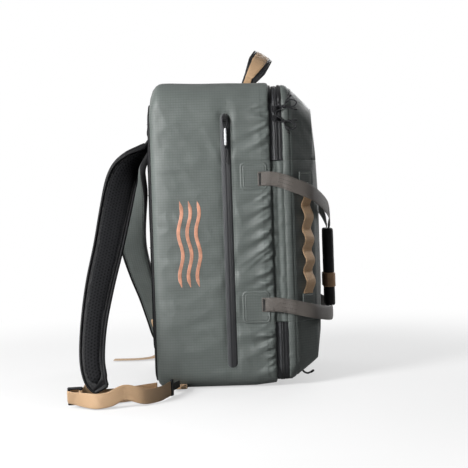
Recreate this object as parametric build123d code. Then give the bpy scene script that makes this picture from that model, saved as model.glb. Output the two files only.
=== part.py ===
from build123d import *
import math
import os

# Tackle backpack, millimetres. +Z up, the front lids face -Y, the shoulder straps face +Y.
# The origin is the centre of the base, on the ground. Left is -X, right is +X.

os.makedirs("parts", exist_ok=True)

# ---------------------------------------------------------------- shared dimensions
HALF_W = 165.0  # half the body width
BODY_H = 543.0  # body height at the back
FABRIC_T = 1.6  # coated ripstop with its lining film
WEB_W, WEB_T = 25.0, 1.6  # handle and strap webbing
BAR_R = 2.5  # ladder lock bars
CORD_R = BAR_R / 2  # zip pull cord
FOLD_UP_Z, FOLD_LOW_Z = 398.0, 113.0  # fold lines of the upper and lower lids
X_DIR_LEFT = (-1, 0, 0)
UP = (0, 0, 1)
FAR = 600  # beyond the whole model, for cutting boxes

# the recessed zip band between body and lids
BAND_BODY_Y, BAND_LID_Y = -64.0, -91.0
BAND_HALF_W, BAND_Z0, BAND_Z1 = 160.0, 9.0, 532.0
BAND_TOP_R, BAND_BOTTOM_R = 40.0, 26.0
BAND_PROFILE = (BAND_HALF_W, BAND_Z0, BAND_Z1, BAND_TOP_R, BAND_BOTTOM_R)
ZIP_Y = -77.5  # centre line of the main zip


# ---------------------------------------------------------------- helpers
def rounded_rect(y, half_w, z0, z1, top_r, bottom_r):
    """Rounded rectangle in the plane of depth y."""
    sag = 1 - math.sqrt(0.5)
    top_sag, bottom_sag = top_r * sag, bottom_r * sag
    top_x, bottom_x = half_w - top_r, half_w - bottom_r  # where the corner arcs begin
    top_z, bottom_z = z1 - top_r, z0 + bottom_r

    def line(start, end):
        return Edge.make_line((start[0], y, start[1]), (end[0], y, end[1]))

    def arc(*points):
        return Edge.make_three_point_arc(*[(x, y, z) for x, z in points])

    return Wire(
        [
            line((-bottom_x, z0), (bottom_x, z0)),
            arc((bottom_x, z0), (half_w - bottom_sag, z0 + bottom_sag), (half_w, bottom_z)),
            line((half_w, bottom_z), (half_w, top_z)),
            arc((half_w, top_z), (half_w - top_sag, z1 - top_sag), (top_x, z1)),
            line((top_x, z1), (-top_x, z1)),
            arc((-top_x, z1), (-half_w + top_sag, z1 - top_sag), (-half_w, top_z)),
            line((-half_w, top_z), (-half_w, bottom_z)),
            arc((-half_w, bottom_z), (-half_w + bottom_sag, z0 + bottom_sag), (-bottom_x, z0)),
        ]
    )


def hull(sections):
    """Ruled loft through (y, half width, bottom z, top z, top radius, bottom radius)."""
    return Solid.make_loft([rounded_rect(*section) for section in sections], ruled=True)


def prism(y0, y1, *profile):
    """The same rounded rectangle at two depths."""
    return hull([(y0, *profile), (y1, *profile)])


def inset(sections, gap):
    """The same sections pulled in by gap on all four sides."""
    return [
        (y, half_w - gap, z0 + gap, z1 - gap, max(top_r - gap, 3.0), max(bottom_r - gap, 3.0))
        for y, half_w, z0, z1, top_r, bottom_r in sections
    ]


def box(low, high):
    size = [b - a for a, b in zip(low, high)]
    return Solid.make_box(*size, Plane(origin=tuple(low)))


def height_slab(z0, z1):
    return box((-FAR, -FAR, z0), (FAR, FAR, z1))


def rod(start, end, radius):
    start, end = Vector(*start), Vector(*end)
    plane = Plane(origin=start, z_dir=end - start)
    return Solid.make_cylinder(radius, (end - start).length, plane)


def ball(centre, radius):
    return Solid.make_sphere(radius, Plane(origin=tuple(centre)))


def tube(start, end, inner_r, outer_r):
    return rod(start, end, outer_r) - rod(start, end, inner_r)


def fuse(items):
    out = items[0]
    for item in items[1:]:
        out = out + item
    return out


def mirror_x(shape):
    return shape.mirror(Plane.YZ)


def both(shape):
    """The shape and its mirror image on the other side."""
    return [shape, mirror_x(shape)]


def solids_of(shape):
    if isinstance(shape, (list, tuple)):
        return [solid for item in shape for solid in solids_of(item)]
    return list(shape.solids())


def save(name, *shapes):
    solids = solids_of(shapes)
    target = solids[0] if len(solids) == 1 else Compound(solids)
    export_step(target, "parts/" + name + ".step")


def save_pair(name, shape):
    """A left piece and its right mirror image, in two files."""
    save(name + "_left", shape)
    save(name + "_right", mirror_x(shape))


def catmull(points, steps):
    """Catmull-Rom curve through the points, steps per span."""
    inner = [Vector(*p) for p in points]
    points = [inner[0] * 2 - inner[1]] + inner + [inner[-1] * 2 - inner[-2]]
    out = []
    for a, b, c, d in zip(points, points[1:], points[2:], points[3:]):
        for k in range(steps):
            t = k / steps
            out.append(
                (
                    b * 2
                    + (c - a) * t
                    + (a * 2 - b * 5 + c * 4 - d) * t**2
                    + (b * 3 - a - c * 3 + d) * t**3
                )
                * 0.5
            )
    out.append(inner[-1])
    return out


def square_to(direction, axis):
    """Unit vector along direction, made square to the unit axis."""
    return (direction - axis * direction.dot(axis)).normalized()


def stations(points, widths, halves, steps):
    """Frames along a webbing path: centre, width direction, normal, half width."""
    centres = catmull(points, steps)
    width_dirs = catmull(widths, steps)
    half_widths = [v.X for v in catmull([(half, 0, 0) for half in halves], steps)]
    last = len(centres) - 1
    out = []
    for i, centre in enumerate(centres):
        tangent = (centres[min(i + 1, last)] - centres[max(i - 1, 0)]).normalized()
        width = square_to(width_dirs[i], tangent)
        out.append((centre, width, tangent.cross(width).normalized(), half_widths[i]))
    return out


def band_outline(centre, width, normal, half, low, high):
    """Rectangle across a band, from normal offset low to high."""
    side = width * half
    corners = [
        centre - side + normal * low,
        centre + side + normal * low,
        centre + side + normal * high,
        centre - side + normal * high,
    ]
    return Wire.make_polygon(corners, close=True)


def strip(frames, low=-WEB_T / 2, high=WEB_T / 2):
    """A flat band through the stations, from normal offset low to high."""
    return Solid.make_loft([band_outline(*frame, low, high) for frame in frames], ruled=True)


# ---------------------------------------------------------------- main body
SHELL_BACK_Y = 141.0
# y, half width, bottom z, top z, top radius, bottom radius
SHELL = [
    (BAND_BODY_Y, HALF_W, 4.0, 537.0, 42.0, 28.0),
    (-30.0, HALF_W, 0.0, 538.5, 42.0, 28.0),
    (122.0, HALF_W, 0.0, BODY_H, 42.0, 28.0),
    (134.0, 162.0, 3.0, 531.0, 42.0, 28.0),
    (SHELL_BACK_Y, 153.0, 14.0, 503.0, 38.0, 28.0),
]
OPENING_HALF_W = BAND_HALF_W - FABRIC_T
OPENING_TOP_Z = BAND_Z1 - FABRIC_T
OPENING_TOP_R = BAND_TOP_R - FABRIC_T

body_solid = hull(SHELL)
cavity = inset(SHELL, FABRIC_T)
cavity[0] = (BAND_BODY_Y + FABRIC_T,) + cavity[0][1:]
cavity[-1] = (SHELL_BACK_Y - FABRIC_T,) + cavity[-1][1:]
body_mouth = prism(
    BAND_BODY_Y - 2, BAND_BODY_Y + 3,
    OPENING_HALF_W, BAND_Z0 + FABRIC_T, OPENING_TOP_Z, OPENING_TOP_R, BAND_BOTTOM_R - FABRIC_T,
)
save("body_shell", body_solid - hull(cavity) - body_mouth)

# ---------------------------------------------------------------- recessed zip band
TAPE_T = 1.5
TAPE_HALF_GAP = -0.25  # the two half tapes overlap at the zip centre line
BAND_END_GAP = 0.5  # between the tapes and gussets, and the fold lines
GROUND_CUT_Z = -5


def band(y0, y1, z0, z1):
    """Open ring of tape between two depths, kept from z0 to z1."""
    outside = prism(y0, y1, *BAND_PROFILE)
    inside = prism(
        y0 + 1, y1 - 1,
        BAND_HALF_W - TAPE_T, BAND_Z0 + TAPE_T, BAND_Z1 - TAPE_T,
        BAND_TOP_R - TAPE_T, BAND_BOTTOM_R - TAPE_T,
    )
    return (outside - inside) & height_slab(z0, z1)


# two half tapes per zip, plain gussets between the zips
for level, z0, z1 in (
    ("upper", FOLD_UP_Z + BAND_END_GAP, FAR),
    ("lower", GROUND_CUT_Z, FOLD_LOW_Z - BAND_END_GAP),
):
    save(level + "_zip_tape_body", band(BAND_BODY_Y, ZIP_Y - TAPE_HALF_GAP, z0, z1))
    save(level + "_zip_tape_lid", band(ZIP_Y + TAPE_HALF_GAP, BAND_LID_Y, z0, z1))
save(
    "gusset_strips",
    band(BAND_BODY_Y, BAND_LID_Y, FOLD_LOW_Z + BAND_END_GAP, FOLD_UP_Z - BAND_END_GAP),
)

# rubber corner guard for the parked sliders, on the body half of the tape
GUARD_T = 1.2
guard_outside = prism(
    BAND_BODY_Y - 0.3, -71.8,
    BAND_HALF_W + GUARD_T, BAND_Z0, BAND_Z1 + GUARD_T, BAND_TOP_R + GUARD_T, BAND_BOTTOM_R,
)
guard_inside = prism(
    BAND_BODY_Y + 1, -73.0,
    BAND_HALF_W, BAND_Z0 - 5, BAND_Z1, BAND_TOP_R, BAND_BOTTOM_R,
)
save("zip_garage", (guard_outside - guard_inside) & box((-200, -100, 500), (-100, 0, FAR)))

# ---------------------------------------------------------------- front lids
FOLD_GAP = 0.25
FOAM_FOLD_GAP = 3
FOAM_CLEARANCE = 0.3  # between cover and foam
FOAM_DEPTH = 6.0  # inner face of the foam, from the outer skin
# y, half width, bottom z, top z, top radius, bottom radius
TRAY = [
    (BAND_LID_Y, 163.0, 11.0, 533.0, 41.0, 27.0),
    (-102.0, 164.0, 15.0, 530.0, 40.0, 28.0),
    (-143.0, 130.0, 41.0, 491.0, 30.0, 26.0),
    (-149.5, 118.0, 85.0, 425.0, 26.0, 24.0),
    (-155.0, 80.0, 160.0, 350.0, 24.0, 22.0),
]


def tray_core(gap):
    """The lid volume pulled in by gap, kept behind the front skin."""
    sections = inset(TRAY, gap)
    sections[0] = (BAND_LID_Y - FABRIC_T,) + sections[0][1:]
    for i in (2, 3, 4):
        sections[i] = (sections[i][0] + gap,) + sections[i][1:]
    return hull(sections)


def lid_slabs(gap):
    """Upper, middle and lower height ranges, held back from the fold lines by gap."""
    return (
        height_slab(FOLD_UP_Z + gap, FAR),
        height_slab(FOLD_LOW_Z + gap, FOLD_UP_Z - gap),
        height_slab(GROUND_CUT_Z, FOLD_LOW_Z - gap),
    )


lid_mouth = prism(
    BAND_LID_Y + 2, BAND_LID_Y - 3,
    OPENING_HALF_W, BAND_Z0 + 4, OPENING_TOP_Z, OPENING_TOP_R, 22.0,
)
tray = hull(TRAY) - tray_core(FABRIC_T) - lid_mouth
foam = (tray_core(FABRIC_T + FOAM_CLEARANCE) - tray_core(FOAM_DEPTH)) & box(
    (-200, -200, -10), (200, -106, FAR)
)
COVERS = ("upper_lid_cover", "front_middle_panel", "lower_lid_cover")
FOAMS = ("upper_lid_foam", "front_middle_foam", "lower_lid_foam")
for names, skin, gap in ((COVERS, tray, FOLD_GAP), (FOAMS, foam, FOAM_FOLD_GAP)):
    for name, slab in zip(names, lid_slabs(gap)):
        save(name, skin & slab)

# ---------------------------------------------------------------- inside
# low corner, high corner
LEFT_SIDE_BOARD = ((-163.2, -55, 45), (-159.2, 118, 495))
LEFT_POCKET_BAG = ((-158.9, -50, 30), (-156.4, 100, 490))
FRAME_SHEET = ((-140, 136.8, 45), (140, 138.8, 480))
BASE_BOARD = ((-134, -54, 6.5), (134, 118, 9.5))
SHELF = ((-154.8, -58, 114), (154.8, 134.8, 120))
save("side_foam_boards", both(box(*LEFT_SIDE_BOARD)))
save("pocket_bags", both(box(*LEFT_POCKET_BAG)))
save("frame_sheet", box(*FRAME_SHEET))
save("base_board", box(*BASE_BOARD))
save("compartment_shelf", box(*SHELF))

# lining, open at the front and closed at the back
LINING_T = 0.8
LINING = [(-60.0, 156.0, 13.0, 526.0, 34.0, 24.0), (136.0, 156.0, 13.0, 500.0, 34.0, 24.0)]
lining_front, lining_back = inset(LINING, LINING_T)
lining_inside = [
    (LINING[0][0] - 2,) + lining_front[1:],
    (LINING[1][0] - LINING_T,) + lining_back[1:],
]
save("inner_lining", hull(LINING) - hull(lining_inside))

# ---------------------------------------------------------------- back
PAD_X = 66.0
PAD_Y = 146.05
# y, half width, bottom z, top z, top radius, bottom radius
PANEL = [
    (141.1, 152.0, 15.0, 502.0, 38.0, 28.0),
    (146.0, 148.0, 20.0, 492.0, 36.0, 26.0),
]
PAD = [
    (PAD_Y, 52.0, 62.0, 436.0, 20.0, 20.0),
    (149.0, 51.0, 63.0, 435.0, 19.0, 19.0),
    (151.0, 46.0, 68.0, 430.0, 16.0, 16.0),
]
save("back_panel", hull(PANEL))
save("back_pads", [hull(PAD).moved(Location((x, 0, 0))) for x in (-PAD_X, PAD_X)])
save("strap_yoke", both(box((-104, PAD_Y, 449.0), (-34, 149.6, 482))))

# ---------------------------------------------------------------- side pocket zips
SIDE_ZIP_Y, SIDE_ZIP_Z0, SIDE_ZIP_Z1, SIDE_ZIP_W = 11.0, 36.0, 484.0, 17.0
SIDE_TAPE_X = -HALF_W - 1.2  # outer face of the left tape


def stadium(x0, x1, y, z0, z1, width):
    """Upright round-ended plate from x0 to x1."""
    r = width / 2
    out = box((x0, y - r, z0 + r), (x1, y + r, z1 - r))
    for z in (z0 + r, z1 - r):
        out = out + rod((x0, y, z), (x1, y, z), r)
    return out


side_tape = stadium(SIDE_TAPE_X, -HALF_W, SIDE_ZIP_Y, SIDE_ZIP_Z0, SIDE_ZIP_Z1, SIDE_ZIP_W)
save("side_zip_tapes", both(side_tape))


# ---------------------------------------------------------------- sliders and pulls
# Slider frame: x out of the tape, z along the run.
# Pull frame: x out, the cord hangs along -z and turns about y at height eye_h.
def frame(origin, x_dir, z_dir):
    return Plane(origin=origin, x_dir=x_dir, z_dir=z_dir).location


def slider(origin, cord, eye_h):
    """Zip slider on the left side: a rounded block and the eye for the cord."""
    block = box((0.25, -5.0, -6.0), (3.4, 5.0, 6.0))
    block = fillet(block.edges().filter_by(Axis.X), 2.0)
    eye = box((3.0, -2.2, -2.6), (eye_h + 2.4, 2.2, 2.6)) - rod(
        (eye_h, -4, 0), (eye_h, 4, 0), CORD_R + 0.1
    )
    cord_frame = frame(origin, X_DIR_LEFT, -Vector(*cord))
    return (frame(origin, X_DIR_LEFT, UP) * block) + (cord_frame * eye)


def pull(origin, cord, eye_h, grip_r, grip_start, grip_end, length):
    """Cord through the slider eye, with a tubular grip and a free end."""
    half_span = 4.4  # half the crossbar in the eye

    def at(y, drop):
        return (eye_h, y, -drop)

    items = [
        rod(at(-half_span, 0), at(half_span, 0), CORD_R),
        ball(at(-half_span, 0), CORD_R),
        ball(at(half_span, 0), CORD_R),
        rod(at(-half_span, 0), at(-1.3, grip_start), CORD_R),
        rod(at(half_span, 0), at(1.3, grip_start), CORD_R),
        rod(at(0, grip_start - 1.5), at(0, grip_end), grip_r),
        ball(at(0, grip_end + 2.0), grip_r + 0.3),
        rod(at(0, grip_end), at(0, length), CORD_R),
        ball(at(0, length), CORD_R),
    ]
    return frame(origin, X_DIR_LEFT, -Vector(*cord)) * fuse(items)


def cord_direction(degrees):
    """Forward, raised by the angle."""
    angle = math.radians(degrees)
    return (0, -math.cos(angle), math.sin(angle))


SIDE_EYE_H, MAIN_EYE_H = 5.2, 8.2
SIDE_PULL = dict(grip_r=2.4, grip_start=18, grip_end=48, length=79)
MAIN_PULL = dict(grip_r=2.2, grip_start=15, grip_end=33, length=42)
RAISED, LOWERED = cord_direction(14), cord_direction(-24)

side_origin = (SIDE_TAPE_X, SIDE_ZIP_Y, 474.0)
save_pair("side_slider", slider(side_origin, (0, 0, -1), SIDE_EYE_H))
save_pair("side_pull", pull(side_origin, (0, 0, -1), SIDE_EYE_H, **SIDE_PULL))

# main zip sliders, parked head to head at the left upper corner
for label, z, cord in (("a", 489.0, RAISED), ("b", 473.0, LOWERED)):
    origin = (-BAND_HALF_W, ZIP_Y, z)
    save("upper_slider_" + label, slider(origin, cord, MAIN_EYE_H))
    save("upper_pull_" + label, pull(origin, cord, MAIN_EYE_H, **MAIN_PULL))

# lower zip slider, parked closed near the right-hand end of its run
lower_origin = (-BAND_HALF_W, ZIP_Y, 96.0)
save("lower_slider", mirror_x(slider(lower_origin, LOWERED, MAIN_EYE_H)))
save("lower_pull", mirror_x(pull(lower_origin, LOWERED, MAIN_EYE_H, **MAIN_PULL)))

# cord tail sewn under the front of the lower lid, for pulling the lid down
TAIL_R, TAIL_END_R = 1.5, 2.2
TAIL_PATH = [
    (-104, -116.9, 22.3), (-104, -115.6, 18.6), (-104, -118.4, 13.8), (-104, -125, 12.2),
    (-104, -132.5, 15.4),
]
tail_points = catmull(TAIL_PATH, 3)
tail_items = [ball(tail_points[0], TAIL_R), ball(tail_points[-1], TAIL_END_R)]
for start, end in zip(tail_points, tail_points[1:]):
    tail_items += [rod(start, end, TAIL_R), ball(end, TAIL_R)]
save("lower_lid_loop", fuse(tail_items))

# ---------------------------------------------------------------- duffel handles
PATCH_X = -HALF_W - 1.0  # outer face of the left anchor patches
PATCHES = [(-61.0, -12.0, 347.0, 397.0), (-59.0, -9.0, 112.0, 170.0)]  # y0, y1, z0, z1
HANDLE_X, HANDLE_Y = -166.9, -58.2  # where the webbing leaves the side
HANDLE_UP_Z, HANDLE_LOW_Z = 367.0, 145.0
GRIP_R, GRIP_BORE_R, GRIP_Z0, GRIP_Z1 = 9.8, 6.2, 124.0, 270.0
GRIP_X, GRIP_Y = -11.7, -168.5
WRAP_Z0, WRAP_Z1 = 159.0, 186.0
# centre line of each leg, from the side of the body to the grip
UPPER_LEG = [
    (HANDLE_X, HANDLE_Y, HANDLE_UP_Z), (HANDLE_X, -70, 366.6), (HANDLE_X, -86, 362),
    (HANDLE_X, -106, 354), (-153, -139, 338), (-112, -162, 312), (-55, -169, 288),
    (-13, GRIP_Y, 275),
]
LOWER_LEG = [
    (HANDLE_X, HANDLE_Y, HANDLE_LOW_Z), (HANDLE_X, -70, 145), (HANDLE_X, -86, 142.5),
    (HANDLE_X, -106, 138), (-153, -139, 129), (-112, -162, 121), (-55, -169, 119),
    (-13, GRIP_Y, 119),
]
LEG_HALVES = [WEB_W / 2] * 6 + [12.0, 5.0]  # half width at each point

patches = []
for y0, y1, z0, z1 in PATCHES:
    patch = box((PATCH_X, y0, z0), (-HALF_W, y1, z1))
    patches += both(fillet(patch.edges().filter_by(Axis.X), 9.0))
save("handle_anchor_patches", patches)

ends = []
for z in (HANDLE_UP_Z, HANDLE_LOW_Z):
    low = (PATCH_X - WEB_T, -57.2, z - WEB_W / 2)
    ends += both(box(low, (PATCH_X, -43.0, z + WEB_W / 2)))
save("handle_webbing_ends", ends)


def handle_legs(margin, half_t):
    """Both webbing legs, widened by margin on each edge."""
    halves = [half + margin for half in LEG_HALVES]
    upper, lower = [
        strip(stations(path, [UP] * len(path), halves, 3), -half_t, half_t)
        for path in (UPPER_LEG, LOWER_LEG)
    ]
    return upper + lower


def grip_axis(z0, z1):
    return (GRIP_X, GRIP_Y, z0), (GRIP_X, GRIP_Y, z1)


grip_core = rod(*grip_axis(GRIP_Z0 - 8, GRIP_Z1 + 8), GRIP_BORE_R - 0.1)
save_pair("handle_webbing", handle_legs(0, WEB_T / 2) + grip_core)
# keep the foam clear of the webbing where it enters
grip = tube(*grip_axis(GRIP_Z0, GRIP_Z1), GRIP_BORE_R, GRIP_R) - handle_legs(0.4, 1.2)
save_pair("handle_grip", grip)
save_pair("grip_wrap", tube(*grip_axis(WRAP_Z0, WRAP_Z1), GRIP_R + 0.05, GRIP_R + 1.6))

# ---------------------------------------------------------------- daisy chains
# They lie on the slanted side facet of the lids, between the second and third tray sections.
(side_y, side_half), (front_y, front_half) = TRAY[1][:2], TRAY[2][:2]
facet_dir = Vector(side_half - front_half, front_y - side_y, 0).normalized()
facet_normal = facet_dir.cross(Vector(*UP))  # outward
CHAIN_CENTRE = Vector(-143.6, -126.6, 0)
CHAIN_LIFT = 0.05  # clearance off the facet
CHAIN_T, CHAIN_HALF_W, TAB_HALF_W = 1.5, 11.0, 12.0
LOOP_Z = [354, 318, 276, 238, 201, 162]  # stitch lines
LOOP_RISE = 8.0
LOOP_STEPS = 8
TAB_SPANS = ((354.6, 374.0), (143.0, 161.4))  # z0, z1


def facet_station(z, lift, half_w):
    centre = CHAIN_CENTRE + Vector(0, 0, z) + facet_normal * lift
    return (centre, facet_dir, facet_normal, half_w)


wave = []  # height, lift
for start, end in zip(LOOP_Z, LOOP_Z[1:]):
    for k in range(LOOP_STEPS):
        t = k / LOOP_STEPS
        wave.append((start + (end - start) * t, LOOP_RISE * math.sin(math.pi * t) ** 2))
wave.append((LOOP_Z[-1], 0.0))
chain = [facet_station(z, lift + CHAIN_LIFT, CHAIN_HALF_W) for z, lift in wave]
save("daisy_chains", both(strip(chain, 0.0, CHAIN_T)))

tabs = []
for span in TAB_SPANS:
    tabs += both(strip([facet_station(z, 0, TAB_HALF_W) for z in span], CHAIN_LIFT, 0.9))
save("daisy_chain_tabs", tabs)

# ---------------------------------------------------------------- grab handle
GRAB_BASE = Vector(0, -31.0, 547.5)
GRAB_LEAN = math.radians(33.0)  # forward of upright
GRAB_RISE, GRAB_HALF_SPAN = 62.0, 68.0
GRAB_STEPS = 22
TAN_WIDTH_RATIO = 0.66
rise_dir = Vector(0, -math.sin(GRAB_LEAN), math.cos(GRAB_LEAN))
grab_width = Vector(0, -math.cos(GRAB_LEAN), -math.sin(GRAB_LEAN))

arch = []  # x, rise
for i in range(GRAB_STEPS + 1):
    angle = math.pi * i / GRAB_STEPS
    x = -GRAB_HALF_SPAN * math.copysign(abs(math.cos(angle)) ** 0.75, math.cos(angle))
    arch.append((x, GRAB_RISE * math.sin(angle) ** 0.8))
black, tan = [], []
for i, (x, rise) in enumerate(arch):
    before, after = arch[max(i - 1, 0)], arch[min(i + 1, GRAB_STEPS)]
    along = Vector(after[0] - before[0], 0, 0) + rise_dir * (after[1] - before[1])
    normal = grab_width.cross(along).normalized()  # out of the arch
    half_w = 7.5 + 11.5 * min(1.0, rise / 40.0)
    centre = GRAB_BASE + Vector(x, 0, 0) + rise_dir * rise
    black.append((centre, grab_width, normal, half_w))
    tan.append((centre, grab_width, normal, half_w * TAN_WIDTH_RATIO))
save("grab_webbing_black", strip(black, 0.0, 1.6))
save("grab_webbing_tan", strip(tan, 1.7, 2.9))
end_pads = both(box((-88, -46, 537.9), (-56, -18, 539.4)))
save("grab_handle_ends", [pad - body_solid for pad in end_pads])

# ---------------------------------------------------------------- shoulder straps
STRAP_Y, STRAP_Z = 151.4, 446.0  # top end of both straps
# centre, width direction; from the top of the back down to the strap end
LEFT_STRAP = [
    ((-69, STRAP_Y, STRAP_Z), (1, 0, 0)),
    ((-69.5, 161, 430), (1, -0.1, 0)),
    ((-84, 186, 404), (0.85, -0.5, -0.1)),
    ((-103, 202, 372), (0.45, -0.85, -0.2)),
    ((-136, 212, 318), (0.1, -0.96, -0.2)),
    ((-172, 222, 258), (0, -0.97, -0.2)),
    ((-212, 235, 192), (0, -0.97, -0.2)),
    ((-250, 247, 130), (0, -0.99, -0.1)),
    ((-279, 250, 78), (0, -1, 0)),
    ((-291, 243, 46), (0, -0.95, 0.3)),
    ((-295, 232, 29), (0, -0.8, 0.6)),
]
RIGHT_STRAP = [
    ((69, STRAP_Y, STRAP_Z), (-1, 0, 0)),
    ((69.5, 161, 430), (-1, -0.1, 0)),
    ((90, 182, 396), (-0.9, -0.4, 0.1)),
    ((112, 197, 350), (-0.6, -0.8, 0.1)),
    ((140, 207, 292), (-0.2, -0.97, 0.1)),
    ((170, 208, 236), (0, -1, 0.05)),
    ((204, 198, 180), (0, -0.97, -0.2)),
    ((234, 184, 126), (0, -0.95, -0.3)),
    ((254, 172, 78), (0, -0.95, -0.25)),
    ((262, 164, 46), (0, -0.97, -0.2)),
    ((264, 158, 30), (0, -1, 0)),
]
STRAP_HALVES = [27, 28, 30, 31, 30, 28, 26, 23, 21.5, 20, 14]
COVER, FOAM, MESH = (-5.0, -3.8), (-3.6, 4.0), (4.2, 7.0)  # normal offsets of the layers
FOAM_SHRINK, MESH_SHRINK = 2.0, 5.5  # narrower than the cover, each edge
TURN_R0, TURN_R1 = 2.6, 4.0  # webbing turned round a bar
TAB_HALF = 12.2


def row_stations(rows, halves, steps):
    points, widths = zip(*rows)
    return stations(points, widths, halves, steps)


def strap_taper(i, count):
    """Thickness factor, thinning towards both ends."""
    return min(1.0, (i + 0.6) / 4.0, (count - 1 - i + 1.2) / 3.0)


def strap_layer(frames, span, shrink=0.0, trim=0):
    """One strap layer, leaving out trim stations at each end."""
    count = len(frames)
    wires = []
    for i in range(trim, count - trim):
        centre, width, normal, half = frames[i]
        taper = strap_taper(i, count)
        low, high = span[0] * taper, span[1] * taper
        wires.append(band_outline(centre, width, normal, half - shrink, low, high))
    return Solid.make_loft(wires, ruled=True)


def save_padding(side, frames):
    save("strap_foam_" + side, strap_layer(frames, FOAM, FOAM_SHRINK))
    save("strap_mesh_" + side, strap_layer(frames, MESH, MESH_SHRINK, trim=1))


def ladder_lock(centre, along, bar):
    """Moulded frame with an inner bar for the strap and an outer bar for the webbing.

    Returns the frame and the centres of the inner and outer bars."""
    half_l, half_w, rim_r = 9.5, 15.2, 2.3
    items = []
    for sign in (-1, 1):
        bar_centre = centre + along * half_l * sign
        items.append(rod(bar_centre - bar * half_w, bar_centre + bar * half_w, BAR_R))
        rim_centre = centre + bar * half_w * sign
        start, end = rim_centre - along * (half_l + 1), rim_centre + along * (half_l + 1)
        items += [rod(start, end, rim_r), ball(start, rim_r), ball(end, rim_r)]
    return fuse(items), centre - along * half_l, centre + along * half_l


def turn(centre, bar, *strands):
    """Webbing turned once round a bar, with its strands."""
    bore = rod(centre - bar * 30, centre + bar * 30, TURN_R0)
    out = tube(centre - bar * 12.3, centre + bar * 12.3, TURN_R0, TURN_R1)
    for strand in strands:
        out = out + (strand - bore)
    return out


def web(rows):
    """Lower webbing through rows of centre and width direction."""
    return strip(row_stations(rows, [12.4] * len(rows), 3))


def hook(start, end, wide):
    """Flat moulded hook: a slotted plate and a finger, from start towards end."""
    start, end = Vector(*start), Vector(*end)
    along = (end - start).normalized()
    across = square_to(Vector(*wide), along)
    half_t = 1.6
    plate = box((0.4, -14.0, -half_t), (10, 14.0, half_t)) - box(
        (3.0, -12.6, -5), (6.6, 12.6, 5)
    )
    finger = box((9.0, -6.0, -half_t), ((end - start).length, 6.0, half_t))
    return frame(start, along, along.cross(across).normalized()) * (plate + finger)


# left side: the lock lies beside the strap end and the webbing stands on edge on the ground
left_frames = row_stations(LEFT_STRAP, STRAP_HALVES, 2)
lock_centre = Vector(-298.0, 271.0, 19.5)
lock_along = Vector(-0.1, 1.0, 0.0).normalized()
lock_bar = square_to(Vector(-0.42, 0, 0.9), lock_along)
lock_normal = lock_along.cross(lock_bar).normalized()  # towards +X
lock, inner_bar, outer_bar = ladder_lock(lock_centre, lock_along, lock_bar)
save("ladder_lock_left", lock)

left_tab = [
    ((-287.5, 231, 39), (0.2, 0.25, 0.94)),
    ((-288.0, 243, 33), (0.1, 0.1, 0.98)),
    ((-289.5, 252, 25), (-0.2, 0, 0.95)),
    (inner_bar + lock_normal * 3.2, lock_bar),
]
tab = strip(row_stations(left_tab, [9.0, 10.0, 11.5, 12.3], 2))
# the tab and its turn stop short of the foam and mesh
keep_out = strap_layer(left_frames, (FOAM[0] - 0.1, MESH[1] + 0.3))
cover = strap_layer(left_frames, COVER) + (turn(inner_bar, lock_bar, tab) - keep_out)
save("strap_cover_left", cover)
save_padding("left", left_frames)

left_web = [
    (outer_bar - lock_normal * 3.3, lock_bar),
    (lock_centre - lock_normal * 7.5, lock_bar),
    ((-311.5, 256, 15.0), (-0.2, 0, 0.95)),
    ((-319, 234, 13.4), UP), ((-316, 212, 16), UP), ((-308, 188, 25), UP),
    ((-297, 158, 15), UP), ((-270, 135, 13.2), UP), ((-240, 124, 13.2), UP),
    ((-224, 118.6, 13.8), UP),
]
left_tail = [
    (outer_bar + lock_normal * 3.3, lock_bar),
    (lock_centre + lock_normal * 7.5, lock_bar),
    ((-282.5, 254, 15.5), (-0.25, 0, 0.95)),
    ((-276, 234, 13.4), UP), ((-271, 205, 13.2), UP), ((-256, 178, 13.2), UP),
    ((-240, 156, 13.2), UP), ((-229, 141, 13.2), UP),
]
save("lower_webbing_left", turn(outer_bar, lock_bar, web(left_web), web(left_tail)))
save("strap_hook_left", hook((-223.4, 118.4, 14.4), (-186.0, 106.0, 14.4), UP))

# right side: the lock lies flat, the tail runs back along the ground
# normals are turned so that they run from cover to mesh, as on the left
right_frames = [
    (centre, width, normal * -1, half)
    for centre, width, normal, half in row_stations(RIGHT_STRAP, STRAP_HALVES, 2)
]
lock_bar = Vector(0, 1, 0)
lock, inner_bar, outer_bar = ladder_lock(Vector(240.0, 156.0, 7.0), Vector(-1, 0, 0), lock_bar)
save("ladder_lock_right", lock)

# tab sewn along the cover near the strap end, then out to the inner bar
count = len(right_frames)
tab_frames = []
for i in range(count - 4, count):
    centre, width, normal, half = right_frames[i]
    offset = COVER[0] * strap_taper(i, count) - 0.5
    tab_frames.append((centre + normal * offset, width, normal, min(TAB_HALF + 0.2, half - 1.5)))
for centre in (
    Vector(257, 157, 14),
    inner_bar + Vector(1.5, 0, 3.0),
    inner_bar + Vector(-0.5, 0, 3.2),
):
    along = (centre - tab_frames[-1][0]).normalized()
    width = square_to(Vector(0, -1, 0), along)
    tab_frames.append((centre, width, width.cross(along).normalized(), TAB_HALF))
tab = strip(tab_frames)
cover = strap_layer(right_frames, COVER) + turn(inner_bar, lock_bar, tab)
save("strap_cover_right", cover)
save_padding("right", right_frames)

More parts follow.
